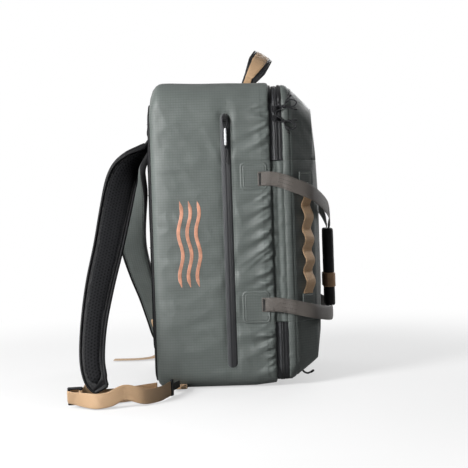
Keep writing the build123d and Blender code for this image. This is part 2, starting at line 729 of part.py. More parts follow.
right_web = [
    (outer_bar - Vector(0, 0, 3.2), (0, 1, 0)),
    ((223, 155, 2.6), (0, 1, 0)),
    ((217, 149, 1.8), (-0.5, 0.8, 0)),
    ((211, 140.5, 1.8), (-0.7, 0.7, 0)),
]
right_tail = [
    (outer_bar + Vector(0, 0, 3.2), (0, 1, 0)),
    ((221, 157, 11.5), (0, 1, 0)),
    ((210, 164, 8), (0.5, 0.8, 0)),
    ((202, 182, 3.5), (0.9, 0.3, 0)),
    ((199, 212, 1.6), (1, 0, 0)),
    ((203, 259, 1.2), (1, -0.1, 0)),
]
save("lower_webbing_right", turn(outer_bar, lock_bar, web(right_web), web(right_tail)))
save("strap_hook_right", hook((210.8, 140.2, 2.0), (187.0, 108.0, 2.0), (-0.7, 0.7, 0)))

# flat fabric loops low on the sides, open through Y
anchor_loop = box((-181, 92, 3.0), (-150, 117, 9.0))
anchor_loop = anchor_loop - box((-179.4, 90, 4.6), (-140, 119, 7.4)) - body_solid
save("lower_anchor_loops", both(anchor_loop))
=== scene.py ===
"""A travel backpack that stands upright on its base.

X runs across its width (left is -X), -Y is the front with the two zipped lids, +Y is the
back panel with the shoulder straps, and Z is up. Shapes are in millimetres and make()
turns them into metres. Blend points, the floor, the lights and the camera are in metres.
"""

import math
from functools import cached_property

import bmesh
import bpy
import numpy as np
from mathutils import Matrix, Vector

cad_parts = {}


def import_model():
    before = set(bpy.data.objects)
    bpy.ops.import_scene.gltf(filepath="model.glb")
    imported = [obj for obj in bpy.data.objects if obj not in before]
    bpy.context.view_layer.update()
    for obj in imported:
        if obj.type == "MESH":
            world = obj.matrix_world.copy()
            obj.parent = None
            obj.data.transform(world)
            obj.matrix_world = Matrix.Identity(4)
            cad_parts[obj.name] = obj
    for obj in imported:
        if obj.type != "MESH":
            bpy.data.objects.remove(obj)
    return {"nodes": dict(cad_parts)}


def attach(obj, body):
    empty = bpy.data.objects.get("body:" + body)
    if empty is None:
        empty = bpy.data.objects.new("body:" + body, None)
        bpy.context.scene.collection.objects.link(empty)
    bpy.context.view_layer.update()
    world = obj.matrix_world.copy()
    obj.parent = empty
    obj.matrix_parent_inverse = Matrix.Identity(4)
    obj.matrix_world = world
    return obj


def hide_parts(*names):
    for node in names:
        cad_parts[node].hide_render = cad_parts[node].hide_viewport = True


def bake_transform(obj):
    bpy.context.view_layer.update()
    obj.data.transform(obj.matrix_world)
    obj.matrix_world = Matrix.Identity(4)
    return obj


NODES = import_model()["nodes"]
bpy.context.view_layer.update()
MM = 0.001
SCENE = bpy.context.scene
SIDES = ((-1, "left"), (1, "right"))

# Driving sizes
HALF_WIDTH = 165.0  # middle plane to the flat side of the body
BAND_X = 160.0  # middle plane to the zip band between body and lids
BAND_Y = -77.5  # middle of the zip band
BAND_LOOP = (BAND_X, 9.0, 532.0, 40.0, 26.0)  # half width, bottom, top, top and bottom radius
SIDE_ZIP_Y = 11.0
UPPER_CUT, LOWER_CUT = 398.0, 113.0  # heights where the lids meet the front panel
GRIP_Y = -176.5

# Point counts of a loop: bottom, bottom corner, side, top corner, top
BODY_COUNTS = (66, 10, 190, 16, 104)
PAD_COUNTS = (40, 8, 90, 8, 40)

# Stitch pitch, length and thread radius
EDGE_STITCH = (3.8, 2.7, 0.36)
ZIP_STITCH = (3.4, 2.4, 0.3)
HANDLE_STITCH = (3.4, 2.5, 0.34)
SLEEVE_STITCH = (2.8, 2.0, 0.3)
DAISY_STITCH = (1.9, 1.6, 0.36)
TAB_STITCH = (2.8, 2.1, 0.32)
PAD_STITCH = (4.0, 3.0, 0.5)
STRAP_STITCH = (4.0, 2.9, 0.4)
ROOT_STITCH = (3.4, 2.5, 0.42)
TAIL_STITCH = (2.4, 1.9, 0.35)
TACK_STITCH = (1.9, 1.7, 0.42)


# ------------------------------------------------------------------ shader nodes
def feed(tree, socket, value):
    if isinstance(value, bpy.types.NodeSocket):
        tree.links.new(value, socket)
    elif isinstance(value, (tuple, list)) and socket.type == "RGBA":
        socket.default_value = (*value[:3], 1.0)
    else:
        socket.default_value = value


def add_node(tree, kind, inputs=None, **settings):
    node = tree.nodes.new("ShaderNode" + kind)
    for name, value in settings.items():
        setattr(node, name, value)
    for key, value in (inputs or {}).items():
        feed(tree, node.inputs[key], value)
    return node


class Material:
    """Builds a procedural material. Lengths in its formulas are millimetres."""

    def __init__(self, name, rough, spec):
        self.data = bpy.data.materials.new(name)
        self.data.use_nodes = True
        self.tree = self.data.node_tree
        self.tree.nodes.clear()
        self.output = self.node("OutputMaterial")
        self.shader = self.node("BsdfPrincipled")
        self.tree.links.new(self.shader.outputs[0], self.output.inputs[0])
        self.set("Roughness", rough)
        self.set("Specular IOR Level", spec)

    def node(self, kind, inputs=None, **settings):
        return add_node(self.tree, kind, inputs, **settings)

    def set(self, name, value):
        feed(self.tree, self.shader.inputs[name], value)

    @cached_property
    def places(self):
        return self.node("TexCoord").outputs

    @cached_property
    def geometry(self):
        return self.node("NewGeometry").outputs

    def math(self, operation, a, b=0.0):
        return self.node("Math", {0: a, 1: b}, operation=operation).outputs[0]

    def add(self, a, b):
        return self.math("ADD", a, b)

    def sub(self, a, b):
        return self.math("SUBTRACT", a, b)

    def mul(self, a, b):
        return self.math("MULTIPLY", a, b)

    def step(self, value, low, high):
        inputs = {"Value": value, "From Min": low, "From Max": high}
        return self.node("MapRange", inputs, interpolation_type="SMOOTHSTEP").outputs["Result"]

    def mix(self, share, a, b):
        return self.node("Mix", {0: share, 6: a, 7: b}, data_type="RGBA").outputs[2]

    def tint(self, colour, mask, amount, other):
        """Mix in another colour where the mask is high."""
        return self.mix(self.mul(mask, amount), colour, other)

    def scaled(self, socket, scale):
        return self.node("VectorMath", {0: socket, "Scale": scale}, operation="SCALE").outputs[0]

    def object_mm(self):
        return self.scaled(self.places["Object"], 1000.0)

    def split(self, socket):
        return tuple(self.node("SeparateXYZ", {0: socket}).outputs)

    def noise(self, place, size, detail=2.0, rough=0.5):
        inputs = {"Vector": place, "Scale": 1.0 / size, "Detail": detail, "Roughness": rough}
        return self.node("TexNoise", inputs).outputs["Fac"]

    def cells(self, place, size):
        inputs = {"Vector": place, "Scale": 1.0 / size}
        return self.node("TexVoronoi", inputs).outputs["Distance"]

    def bump(self, height, depth, strength, normal=None):
        inputs = {"Strength": strength, "Distance": depth * MM, "Height": height}
        if normal is not None:
            inputs["Normal"] = normal
        return self.node("Bump", inputs).outputs[0]

    def line(self, a, pitch, width):
        """1 on thin lines every pitch, width as a share of the pitch."""
        offset = self.math("FRACT", self.math("DIVIDE", a, pitch))
        offset = self.math("ABSOLUTE", self.sub(offset, 0.5))
        return self.step(offset, 0.5 - width, 0.5 - width * 0.25)

    def wave(self, a, pitch):
        return self.math("SINE", self.mul(a, 2 * math.pi / pitch))

    def edges(self, high=0.62):
        """1 on sharp outer edges, where the materials paint a highlight."""
        return self.step(self.geometry["Pointiness"], 0.52, high)


def shade(colour, gain, lift=0.0):
    return [min(1, channel * gain + lift) for channel in colour]


# ------------------------------------------------------------------ materials
def object_grid(m, pitch):
    """Grid lines and weave in object space, without the lines of the axis a surface faces."""
    axes = m.split(m.object_mm())
    x, y, z = [m.math("ABSOLUTE", a) for a in m.split(m.places["Normal"])]
    facing = [m.math("GREATER_THAN", a, m.math("MAXIMUM", b, c))
              for a, b, c in ((x, y, z), (y, x, z), (z, x, y))]
    shown = [m.sub(1.0, mask) for mask in facing]
    strengths = (0.75, 0.55, 1.0)  # of the lines across x, y and z
    parts = [m.mul(m.mul(m.line(axis, pitch, width=0.11), mask), strength)
             for axis, mask, strength in zip(axes, shown, strengths)]
    lines = m.math("MAXIMUM", parts[0], m.math("MAXIMUM", parts[1], parts[2]))
    return lines, m.add(m.wave(axes[1], pitch=0.9), m.wave(axes[2], pitch=0.9))


def ripstop(name, base, rough=0.49, use_uv=False):
    """Coated fabric with a raised square grid and soft creases."""
    m = Material(name, rough, spec=0.38)
    pitch = 4.6
    if use_uv:
        place = m.places["UV"]
        u, v, _ = m.split(place)
        lines = m.math("MAXIMUM", m.line(u, pitch, width=0.10), m.line(v, pitch, width=0.10))
        weave = m.add(m.wave(u, pitch=0.9), m.wave(v, pitch=0.9))
    else:
        lines, weave = object_grid(m, pitch)
        place = m.object_mm()
    cloud = m.noise(place, size=42.0, detail=3.0)
    fine = m.noise(place, size=3.2, detail=3.0, rough=0.65)
    crease = m.noise(place, size=13.0, detail=4.0, rough=0.6)
    colour = m.mix(m.step(cloud, low=0.3, high=0.7), shade(base, 0.93), shade(base, 1.07))
    colour = m.tint(colour, fine, amount=0.20, other=shade(base, 0.8))
    colour = m.tint(colour, lines, amount=0.75, other=shade(base, 0.62))
    # painted highlight: the sharp outer edges are lightened
    colour = m.tint(colour, m.edges(), amount=0.30, other=shade(base, gain=1.55, lift=0.02))
    m.set("Base Color", colour)
    m.set("Roughness", m.add(rough - 0.09, m.mul(fine, 0.18)))
    m.set("Sheen Weight", 0.04)
    m.set("Sheen Roughness", 0.5)
    normal = m.bump(crease, depth=1.3, strength=0.42)
    relief = m.add(m.mul(lines, 1.0), m.mul(weave, 0.12))
    m.set("Normal", m.bump(relief, depth=0.14, strength=0.8, normal=normal))
    return m.data


def webbing(name, base, light, sheen, half=12.5, rough=0.5):
    """Woven tape: twill columns along the run and darker selvedges half a width out, with painted
    highlights on the twill crests and painted shade in the grooves between the columns.
    """
    m = Material(name, rough, spec=0.4)
    column = 4.2
    u, v, _ = m.split(m.places["UV"])
    even = m.math("LESS_THAN", m.math("FRACT", m.math("DIVIDE", u, column)), 0.5)
    sign = m.sub(m.mul(even, 2.0), 1.0)
    twill = m.wave(m.add(v, m.mul(u, sign)), pitch=1.7)
    rib = m.math("ABSOLUTE", m.wave(u, pitch=column))
    selvedge = m.step(m.math("ABSOLUTE", u), low=half - 1.9, high=half - 0.7)
    fine = m.noise(m.object_mm(), size=1.6, detail=3.0, rough=0.7)
    cloud = m.noise(m.object_mm(), size=22.0)
    # painted highlight and shade: the raised twill crests take the light colour, the lows the dark
    # one
    colour = m.mix(m.step(twill, low=-1.0, high=1.0), shade(base, 0.74), light)
    # painted shade: darker in the grooves between the rib columns
    colour = m.tint(colour, m.sub(1.0, rib), amount=0.30, other=shade(base, 0.6))
    colour = m.tint(colour, selvedge, amount=0.32, other=shade(base, 0.62))
    stain = m.step(cloud, low=0.35, high=0.75)
    colour = m.tint(colour, stain, amount=0.22, other=shade(base, 0.8))
    colour = m.tint(colour, fine, amount=0.20, other=shade(base, gain=1.4, lift=0.01))
    m.set("Base Color", colour)
    m.set("Sheen Weight", sheen)
    m.set("Roughness", m.add(rough - 0.08, m.mul(fine, 0.2)))
    relief = m.add(m.mul(twill, 0.5), m.mul(rib, 0.8))
    m.set("Normal", m.bump(relief, depth=0.22, strength=0.75))
    return m.data


def spacer_mesh(name, base, rim, size):
    """Open mesh with a hexagonal field of dark holes, one every size; the dark in the holes is
    painted shade.
    """
    m = Material(name, rough=0.75, spec=0.12)
    u, v, _ = m.split(m.places["UV"])
    turn = 2 * math.pi / size

    def ripple(a, b):
        return m.math("COSINE", m.add(m.mul(u, a * turn), m.mul(v, b * turn)))

    lean = math.sqrt(3) / 2
    height = m.add(ripple(1.0, 0.0), m.add(ripple(0.5, lean), ripple(-0.5, lean)))
    hole = m.step(height, low=0.3, high=1.7)
    fuzz = m.noise(m.object_mm(), size=0.9, detail=3.0, rough=0.7)
    # painted shade: the holes take the darker colour, the mesh between them the rim colour
    colour = m.mix(hole, rim, base)
    m.set("Base Color", m.tint(colour, fuzz, amount=0.35, other=shade(base, 0.5)))
    m.set("Normal", m.bump(m.sub(1.0, hole), depth=0.8, strength=0.9))
    return m.data


def plain_weave(name, base, rough, pitch, sheen=0.15):
    m = Material(name, rough, spec=0.38)
    x, y, z = m.split(m.object_mm())
    across = m.add(x, y)
    weave = m.mul(m.wave(across, pitch), m.wave(z, pitch))
    fuzz = m.noise(m.object_mm(), size=2.0, detail=4.0, rough=0.7)
    cloud = m.noise(m.object_mm(), size=35.0)
    # painted highlight and shade: the raised weave is lighter, the low weave darker
    colour = m.mix(m.step(weave, low=-1, high=1), shade(base, 0.8), shade(base, 1.15))
    colour = m.tint(colour, fuzz, amount=0.3, other=shade(base, 0.6))
    stain = m.step(cloud, low=0.4, high=0.7)
    m.set("Base Color", m.tint(colour, stain, amount=0.15, other=shade(base, 1.3)))
    m.set("Sheen Weight", sheen)
    normal = m.bump(fuzz, depth=0.3, strength=0.3)
    m.set("Normal", m.bump(weave, depth=0.15, strength=0.6, normal=normal))
    return m.data


def moulded(name, base, rough, grain, depth, edge_highlight, coat=0.0, metallic=0.0):
    """Plastic, rubber, thread or painted metal. Grain is a size; the edge weight paints a highlight
    that lightens the sharp edges.
    """
    m = Material(name, rough, spec=0.38)
    place = m.object_mm()
    fine = m.noise(place, size=grain, detail=3.0, rough=0.6)
    cloud = m.noise(place, size=9.0)
    lighter = shade(base, gain=1.5, lift=0.004)
    colour = m.mix(m.step(cloud, low=0.3, high=0.75), base, lighter)
    edge_highlight_colour = shade(base, gain=3, lift=0.05)
    # painted highlight: the sharp edges are lightened
    m.set("Base Color", m.tint(colour, m.edges(), amount=edge_highlight, other=edge_highlight_colour))
    m.set("Metallic", metallic)
    m.set("Coat Weight", coat)
    m.set("Roughness", m.add(rough - 0.1, m.mul(fine, 0.22)))
    m.set("Normal", m.bump(fine, depth, strength=0.7))
    return m.data


def thread(name, base):
    return moulded(name, base, rough=0.6, grain=0.4, depth=0.03, edge_highlight=0.2)


def zip_film(name):
    """Satin film with fine ribs along the run, with a painted highlight that makes it lighter
    towards positive u.
    """
    m = Material(name, rough=0.40, spec=0.35)
    u, v, _ = m.split(m.places["UV"])
    ribs = m.wave(u, pitch=1.25)
    # painted highlight: the half of the zip towards positive u is lighter
    light = m.step(u, low=0.5, high=4.5)
    fuzz = m.noise(m.object_mm(), size=2.6, detail=3.0, rough=0.6)
    colour = m.mix(light, (0.014, 0.0143, 0.016), (0.052, 0.054, 0.058))
    colour = m.tint(colour, fuzz, amount=0.25, other=(0.02, 0.02, 0.021))
    # painted highlight on the sharp edges
    colour = m.tint(colour, m.edges(high=0.6), amount=0.35, other=(0.12, 0.12, 0.12))
    m.set("Base Color", colour)
    relief = m.add(ribs, m.mul(m.wave(v, pitch=1.1), 0.35))
    m.set("Normal", m.bump(relief, depth=0.10, strength=0.7))
    m.set("Roughness", m.add(0.32, m.mul(fuzz, 0.22)))
    return m.data


def braided_cord(name, base, light):
    m = Material(name, rough=0.55, spec=0.3)
    u, v, _ = m.split(m.places["UV"])
    strands = [m.wave(m.math(way, v, m.mul(u, 0.8)), pitch=1.5) for way in ("ADD", "SUBTRACT")]
    braid = m.math("MAXIMUM", *strands)
    fuzz = m.noise(m.object_mm(), size=0.7, rough=0.7)
    # painted highlight: the raised strands are lighter
    colour = m.mix(m.step(braid, low=0.1, high=1.0), base, light)
    m.set("Base Color", m.tint(colour, fuzz, amount=0.4, other=base))
    m.set("Normal", m.bump(braid, depth=0.16, strength=0.8))
    return m.data


def leather(name, base):
    m = Material(name, rough=0.48, spec=0.45)
    place = m.object_mm()
    grain = m.cells(place, size=1.5)
    cloud = m.noise(place, size=8.0, detail=3.0, rough=0.6)
    pores = m.noise(place, size=0.8, detail=3.0, rough=0.7)
    colour = m.mix(m.step(cloud, low=0.3, high=0.7), shade(base, 0.82), shade(base, 1.12))
    # painted shade: darker in the grooves of the grain
    groove_shade = m.step(grain, low=0.35, high=0.7)
    colour = m.tint(colour, groove_shade, amount=0.25, other=shade(base, 0.62))
    # painted highlight: the sharp edges are lightened
    colour = m.tint(colour, m.edges(), amount=0.45, other=shade(base, gain=1.5, lift=0.02))
    m.set("Base Color", colour)
    m.set("Roughness", m.add(0.38, m.mul(pores, 0.25)))
    m.set("Normal", m.bump(m.sub(pores, grain), depth=0.16, strength=0.6))
    return m.data


GREEN = (0.100, 0.114, 0.107)
MATERIALS = {
    "ripstop": ripstop("ripstop_green", GREEN),
    # painted shade: the lids and the front panel get a darker copy of the body fabric
    "lid": ripstop("ripstop_green_lid_painted_shade", shade(GREEN, 0.78)),
    "strap": ripstop("ripstop_green_strap", shade(GREEN, 0.9), use_uv=True),
    "gusset": ripstop("gusset_fabric", GREEN),
    "patch": ripstop("ripstop_patch", shade(GREEN, 0.93), rough=0.5),
    "zip": zip_film("zip_film"),
    "rubber": moulded("rubber_guard", (0.005, 0.005, 0.0055),
                      rough=0.42, grain=1.2, depth=0.05, edge_highlight=0.25),
    "eva": moulded("grip_foam", (0.0035, 0.0035, 0.004),
                   rough=0.6, grain=1.1, depth=0.16, edge_highlight=0.3),
    "tan": webbing("webbing_tan", (0.43, 0.272, 0.150), light=(0.60, 0.40, 0.235), sheen=0.1),
    "taupe": webbing("webbing_taupe", (0.085, 0.075, 0.067), light=(0.150, 0.133, 0.118),
                     rough=0.40, sheen=0.12),
    "blackweb": webbing("webbing_black", (0.009, 0.009, 0.010), light=(0.020, 0.020, 0.023),
                        half=19.0, sheen=0.0),
    "airmesh": spacer_mesh("air_mesh", (0.0025, 0.0025, 0.003),
                           rim=(0.010, 0.0102, 0.0115), size=5.2),
    "backmesh": spacer_mesh("back_mesh", (0.004, 0.004, 0.005),
                            rim=(0.014, 0.0145, 0.016), size=3.4),
    "binding": plain_weave("binding_black", (0.0045, 0.0045, 0.0055),
                           rough=0.6, pitch=1.1, sheen=0.0),
    "lining": plain_weave("lining_grey", (0.22, 0.225, 0.22), rough=0.7, pitch=1.4),
    "foam": plain_weave("foam_grey", (0.10, 0.10, 0.10), rough=0.85, pitch=2.2),
    "cord": braided_cord("cord_black", (0.005, 0.005, 0.006), light=(0.026, 0.026, 0.03)),
    "plastic": moulded("buckle_plastic", (0.009, 0.009, 0.010),
                       rough=0.45, grain=0.9, depth=0.05, edge_highlight=0.06),
    "board": moulded("board_plastic", (0.02, 0.02, 0.02),
                     rough=0.6, grain=2.0, depth=0.1, edge_highlight=0.2),
    "metal": moulded("slider_metal", (0.010, 0.010, 0.011),
                     rough=0.36, grain=0.5, depth=0.02, edge_highlight=0.12, coat=0.2, metallic=0.3),
    "silver": moulded("pull_tube", (0.52, 0.53, 0.54),
                      rough=0.35, grain=0.8, depth=0.03, edge_highlight=0.5),
    "leather": leather("wrap_tan", (0.40, 0.235, 0.125)),
    "leather_dark": leather("wrap_brown", (0.16, 0.085, 0.045)),
    "thread": thread("thread_dark", (0.035, 0.040, 0.038)),
    "thread_black": thread("thread_black", (0.012, 0.012, 0.012)),
    "thread_tan": thread("thread_tan", (0.33, 0.21, 0.12)),
    "thread_pale": thread("thread_pale", (0.20, 0.215, 0.20)),
    "print": moulded("print_copper", (0.36, 0.17, 0.11),
                     rough=0.5, grain=2.0, depth=0.04, edge_highlight=0.2),
}


# ------------------------------------------------------------------ numbers and curves
def join(*parts):
    """Broadcast the coordinates against each other and stack them as points."""
    return np.stack(np.broadcast_arrays(*parts), -1)


def lattice(a, b):
    return np.meshgrid(a, b, indexing="ij")


def unit(a):
    a = np.asarray(a, float)
    return a / np.maximum(np.linalg.norm(a, axis=-1, keepdims=True), 1e-9)


def catmull(points, steps):
    """A smooth curve through the points, with a number of steps per span."""
    points = np.asarray(points, float)
    if points.ndim == 1:
        points = points[:, None]
    ext = np.vstack([2 * points[0] - points[1], points, 2 * points[-1] - points[-2]])
    t = (np.arange(steps) / steps)[:, None]
    out = []
    for a, b, c, d in zip(ext, ext[1:], ext[2:], ext[3:]):
        square, cube = 2 * a - 5 * b + 4 * c - d, 3 * b - a - 3 * c + d
        out.append(0.5 * (2 * b + (c - a) * t + square * t**2 + cube * t**3))
    return np.vstack(out + [points[-1:]])


def run_length(path):
    return np.concatenate([[0.0], np.cumsum(np.linalg.norm(np.diff(path, axis=0), axis=1))])


def loop_length(loop):
    return run_length(np.vstack([loop, loop[:1]]))[:-1]


def straight(centre, direction, half, count=12):
    return np.asarray(centre) + np.linspace(-half, half, count)[:, None] * direction


def frames_of(path, width_dir):
    """Width direction and normal along a path."""
    tangent = unit(np.gradient(path, axis=0))
    across = unit(width_dir - tangent * np.sum(width_dir * tangent, axis=1, keepdims=True))
    return across, unit(np.cross(tangent, across))


def bell(x):
    return np.exp(-x * x)


def smooth01(x):
    x = np.clip(x, 0, 1)
    return x * x * (3 - 2 * x)


def window(value, low, high, soft):
    """1 between low and high, with soft ends."""
    return smooth01((value - low) / soft + 0.5) * smooth01((high - value) / soft + 0.5)


LATTICES = {}


def noise2(u, v, seed):
    """Smooth seeded noise in -1..1 with one cell per unit."""
    if seed not in LATTICES:
        LATTICES[seed] = np.random.RandomState(seed).rand(97, 97) * 2 - 1
    table = LATTICES[seed]
    u, v = np.asarray(u, float) + 4000.0, np.asarray(v, float) + 4000.0
    i, j = np.floor(u).astype(int), np.floor(v).astype(int)
    s, t = smooth01(u - i), smooth01(v - j)
    i0, i1, j0, j1 = i % 97, (i + 1) % 97, j % 97, (j + 1) % 97
    low = table[i0, j0] * (1 - s) + table[i1, j0] * s
    high = table[i0, j1] * (1 - s) + table[i1, j1] * s
    return low * (1 - t) + high * t


def rounded_distance(a, b, half_a, half_b, radius):
    """Signed distance to a centred rounded rectangle, negative inside."""
    a, b = np.abs(a) - (half_a - radius), np.abs(b) - (half_b - radius)
    outer = np.hypot(np.maximum(a, 0), np.maximum(b, 0))
    return outer + np.minimum(np.maximum(a, b), 0) - radius


def round_rect(half, bottom, top, top_radius, low_radius, counts=BODY_COUNTS):
    """Points (x, z) and outward normals counter-clockwise round a rounded rectangle."""
    points, normals = [], []

    def line(start, end, normal, count):
        t = (np.arange(count) / count)[:, None]
        points.append(np.array(start) + (np.array(end) - np.array(start)) * t)
        normals.append(np.broadcast_to(np.array(normal, float), (count, 2)))

    def arc(centre, radius, quarter, count):
        angle = quarter * math.pi / 2 + math.pi / 2 * np.arange(count) / count
        direction = join(np.cos(angle), np.sin(angle))
        points.append(np.array(centre) + direction * radius)
        normals.append(direction)

    n_bottom, n_low, n_side, n_high, n_top = counts
    low_x, low_z = half - low_radius, bottom + low_radius
    top_x, top_z = half - top_radius, top - top_radius
    line((-low_x, bottom), (low_x, bottom), (0, -1), n_bottom)
    arc((low_x, low_z), low_radius, -1, n_low)
    line((half, low_z), (half, top_z), (1, 0), n_side)
    arc((top_x, top_z), top_radius, 0, n_high)
    line((top_x, top), (-top_x, top), (0, 1), n_top)
    arc((-top_x, top_z), top_radius, 1, n_high)
    line((-half, top_z), (-half, low_z), (-1, 0), n_side)
    arc((-low_x, low_z), low_radius, 2, n_low)
    return np.vstack(points), np.vstack(normals)


def at_y(sections, y):
    """Loop sizes at a depth, between sections that start with their y."""
    table = np.array(sorted(sections))
    return [float(np.interp(y, table[:, 0], column)) for column in table[:, 1:].T]


def ring_at(loop, out, lift, y):
    """A flat loop raised along its normals and placed at a depth."""
    return join(loop[..., 0] + out[..., 0] * lift, y, loop[..., 1] + out[..., 1] * lift)


def cap_rings(last, shares, y, amp=0.0, cells=(24.0, 30.0), seed=73):
    """Shrinking copies of the last ring that close a surface, with a slight waviness."""
    middle = last.mean(0)
    rings = []
    for share in shares:
        ring = middle + (last - middle) * share
        ring[:, 1] = y + amp * noise2(ring[:, 0] / cells[0], ring[:, 2] / cells[1], seed)
        rings.append(ring)
    return rings


# ------------------------------------------------------------------ mesh tools
def make(name, verts, faces, mats, uv=None, face_mats=None):
    """An object from millimetre points. mats is one material key or a tuple of keys."""
    mesh = bpy.data.meshes.new(name)
    mesh.from_pydata((np.asarray(verts, float).reshape(-1, 3) * MM).tolist(), [], faces)
    mesh.update()
    if uv is not None:
        layer = mesh.uv_layers.new(name="UVMap")
        index = np.empty(len(mesh.loops), np.int32)
        mesh.loops.foreach_get("vertex_index", index)
        layer.data.foreach_set("uv", np.asarray(uv, np.float32).reshape(-1, 2)[index].ravel())
    mesh.polygons.foreach_set("use_smooth", [True] * len(mesh.polygons))
    for key in (mats,) if isinstance(mats, str) else mats:
        mesh.materials.append(MATERIALS[key])
    if face_mats is not None:
        mesh.polygons.foreach_set("material_index", np.asarray(face_mats, np.int32))
    ob = bpy.data.objects.new(name, mesh)
    SCENE.collection.objects.link(ob)
    return ob


def fit(ob, body, nodes=None):
    """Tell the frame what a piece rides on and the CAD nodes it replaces."""
    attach(ob, body)
    if nodes is not None:
        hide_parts(*nodes)
    return ob


def grid_faces(rows, columns, wrap_rows=False, wrap_columns=False, first=0):
    i = np.arange(rows if wrap_rows else rows - 1)
    j = np.arange(columns if wrap_columns else columns - 1)
    a, b = lattice(i, j)
    a2, b2 = (a + 1) % rows, (b + 1) % columns
    corners = [a * columns + b, a2 * columns + b, a2 * columns + b2, a * columns + b2]
    return (np.stack(corners, -1).reshape(-1, 4) + first).tolist()


def outward(ob):
    bm = bmesh.new()
    bm.from_mesh(ob.data)
    bmesh.ops.recalc_face_normals(bm, faces=bm.faces)
    bm.to_mesh(ob.data)
    bm.free()
    return ob


def face_out(ob, centre=(0.0, 0.0, 0.27)):
    """Turn an open surface so its faces point away from a centre in metres."""
    mesh = ob.data
    values = []
    for key in ("center", "normal"):
        flat = np.empty(len(mesh.polygons) * 3, np.float32)
        mesh.polygons.foreach_get(key, flat)
        values.append(flat.reshape(-1, 3))
    if np.sum((values[0] - np.array(centre)) * values[1]) < 0:
        mesh.flip_normals()
    return ob


def solidify(ob, thickness):
    """Thicken a surface inwards and bake the modifier."""
    mod = ob.modifiers.new("S", "SOLIDIFY")
    mod.thickness = thickness * MM
    mod.offset = -1.0
    mod.use_even_offset = False
    graph = bpy.context.evaluated_depsgraph_get()
    mesh = bpy.data.meshes.new_from_object(ob.evaluated_get(graph), depsgraph=graph)
    ob.modifiers.clear()
    ob.data = mesh
    return ob


def cut(ob, z, keep_above):
    bm = bmesh.new()
    bm.from_mesh(ob.data)
    bmesh.ops.bisect_plane(
        bm, geom=bm.verts[:] + bm.edges[:] + bm.faces[:], dist=1e-6,
        plane_co=(0, 0, z * MM), plane_no=(0, 0, 1),
        clear_outer=not keep_above, clear_inner=keep_above)
    bm.to_mesh(ob.data)
    bm.free()


def sweep(path, across, normal, sideways, height):
    """Points at sideways and height offsets from each point of a path."""
    return (path[:, None] + across[:, None] * np.asarray(sideways)[..., None]
            + normal[:, None] * np.asarray(height)[..., None])


def skin(name, rings, mats, uv=None, closed=False, face_mats=None):
    """A solid through closed rings, with flat ends unless the run itself is closed."""
    count, size = rings.shape[:2]
    faces = grid_faces(count, size, closed, True)
    if not closed:
        faces += [list(range(size))[::-1], [(count - 1) * size + j for j in range(size)]]
    return outward(make(name, rings, faces, mats, uv, face_mats))


def slab(name, top, bottom, mat, uv=None):
    """Closed piece between two grids of the same shape."""
    rows, columns = top.shape[:2]
    size = rows * columns
    verts = np.concatenate([top.reshape(-1, 3), bottom.reshape(-1, 3)])
    faces = grid_faces(rows, columns)
    faces += [f[::-1] for f in grid_faces(rows, columns, first=size)]
    rim = [i * columns for i in range(rows)]
    rim += [(rows - 1) * columns + j for j in range(1, columns)]
    rim += [i * columns + columns - 1 for i in range(rows - 2, -1, -1)]
    rim += list(range(columns - 2, 0, -1))
    faces += [[a, b, b + size, a + size] for a, b in zip(rim, rim[1:] + rim[:1])]
    if uv is not None:
        uv = np.concatenate([uv.reshape(-1, 2), uv.reshape(-1, 2)])
    return outward(make(name, verts, faces, mat, uv))


def band_piece(name, path, width_dir, half, thick, mat,
               off=0.0, cup=0.0, flip=1.0, ripple=0.0, seed=1):
    """A flat woven band with rounded selvedges. off is its middle's height over the path."""
    path, width_dir = np.asarray(path, float), np.asarray(width_dir, float)
    half = np.broadcast_to(np.asarray(half, float).ravel(), (len(path),))
    across, normal = frames_of(path, width_dir)
    x = np.sin(np.linspace(-math.pi / 2, math.pi / 2, 9))
    edge = thick / 2 * np.maximum(1 - np.abs(x) ** 6, 0.12)
    dist = run_length(path)
    phase = np.random.RandomState(seed).rand() * 6
    middle = off + cup * (x**2 - 0.4) + ripple * np.sin(dist / 17.0 + phase)[:, None] * x
    height = np.concatenate([middle + edge, (middle - edge)[:, ::-1]], axis=1)
    sideways = np.concatenate([x, x[::-1]]) * half[:, None]
    rings = sweep(path, across, normal * flip, sideways, height)
    return skin(name, rings, mat, join(sideways, dist[:, None]))


def tube_piece(name, path, radius, mat, sides=10, closed=False):
    path = np.asarray(path, float)
    count = len(path)
    radius = np.broadcast_to(np.asarray(radius, float), (count,))
    if closed:
        tangent = unit(np.roll(path, -1, 0) - np.roll(path, 1, 0))
    else:
        tangent = unit(np.gradient(path, axis=0))
    # carry one direction along the path so the section never twists
    carried = np.cross(tangent[0], [0.31, 0.52, 0.79])
    carried = carried / np.linalg.norm(carried)
    across = []
    for t in tangent:
        carried = unit(carried - t * np.dot(carried, t))
        across.append(carried)
    across = np.array(across)
    angle = np.linspace(0, 2 * math.pi, sides, endpoint=False)
    rings = sweep(path, across, np.cross(tangent, across),
                  np.cos(angle) * radius[:, None], np.sin(angle) * radius[:, None])
    uv = join(angle * radius.mean(), run_length(path)[:, None])
    return skin(name, rings, mat, uv, closed)


def round_ends(path, radius):
    """Radii along a path that close to a rounded tip at both ends."""
    dist = run_length(np.asarray(path, float))
    share = np.clip(np.minimum(dist, dist[-1] - dist) / (radius * 0.9), 0, 1)
    return radius * np.sqrt(np.clip(1 - (1 - share) ** 2, 0.02, 1))


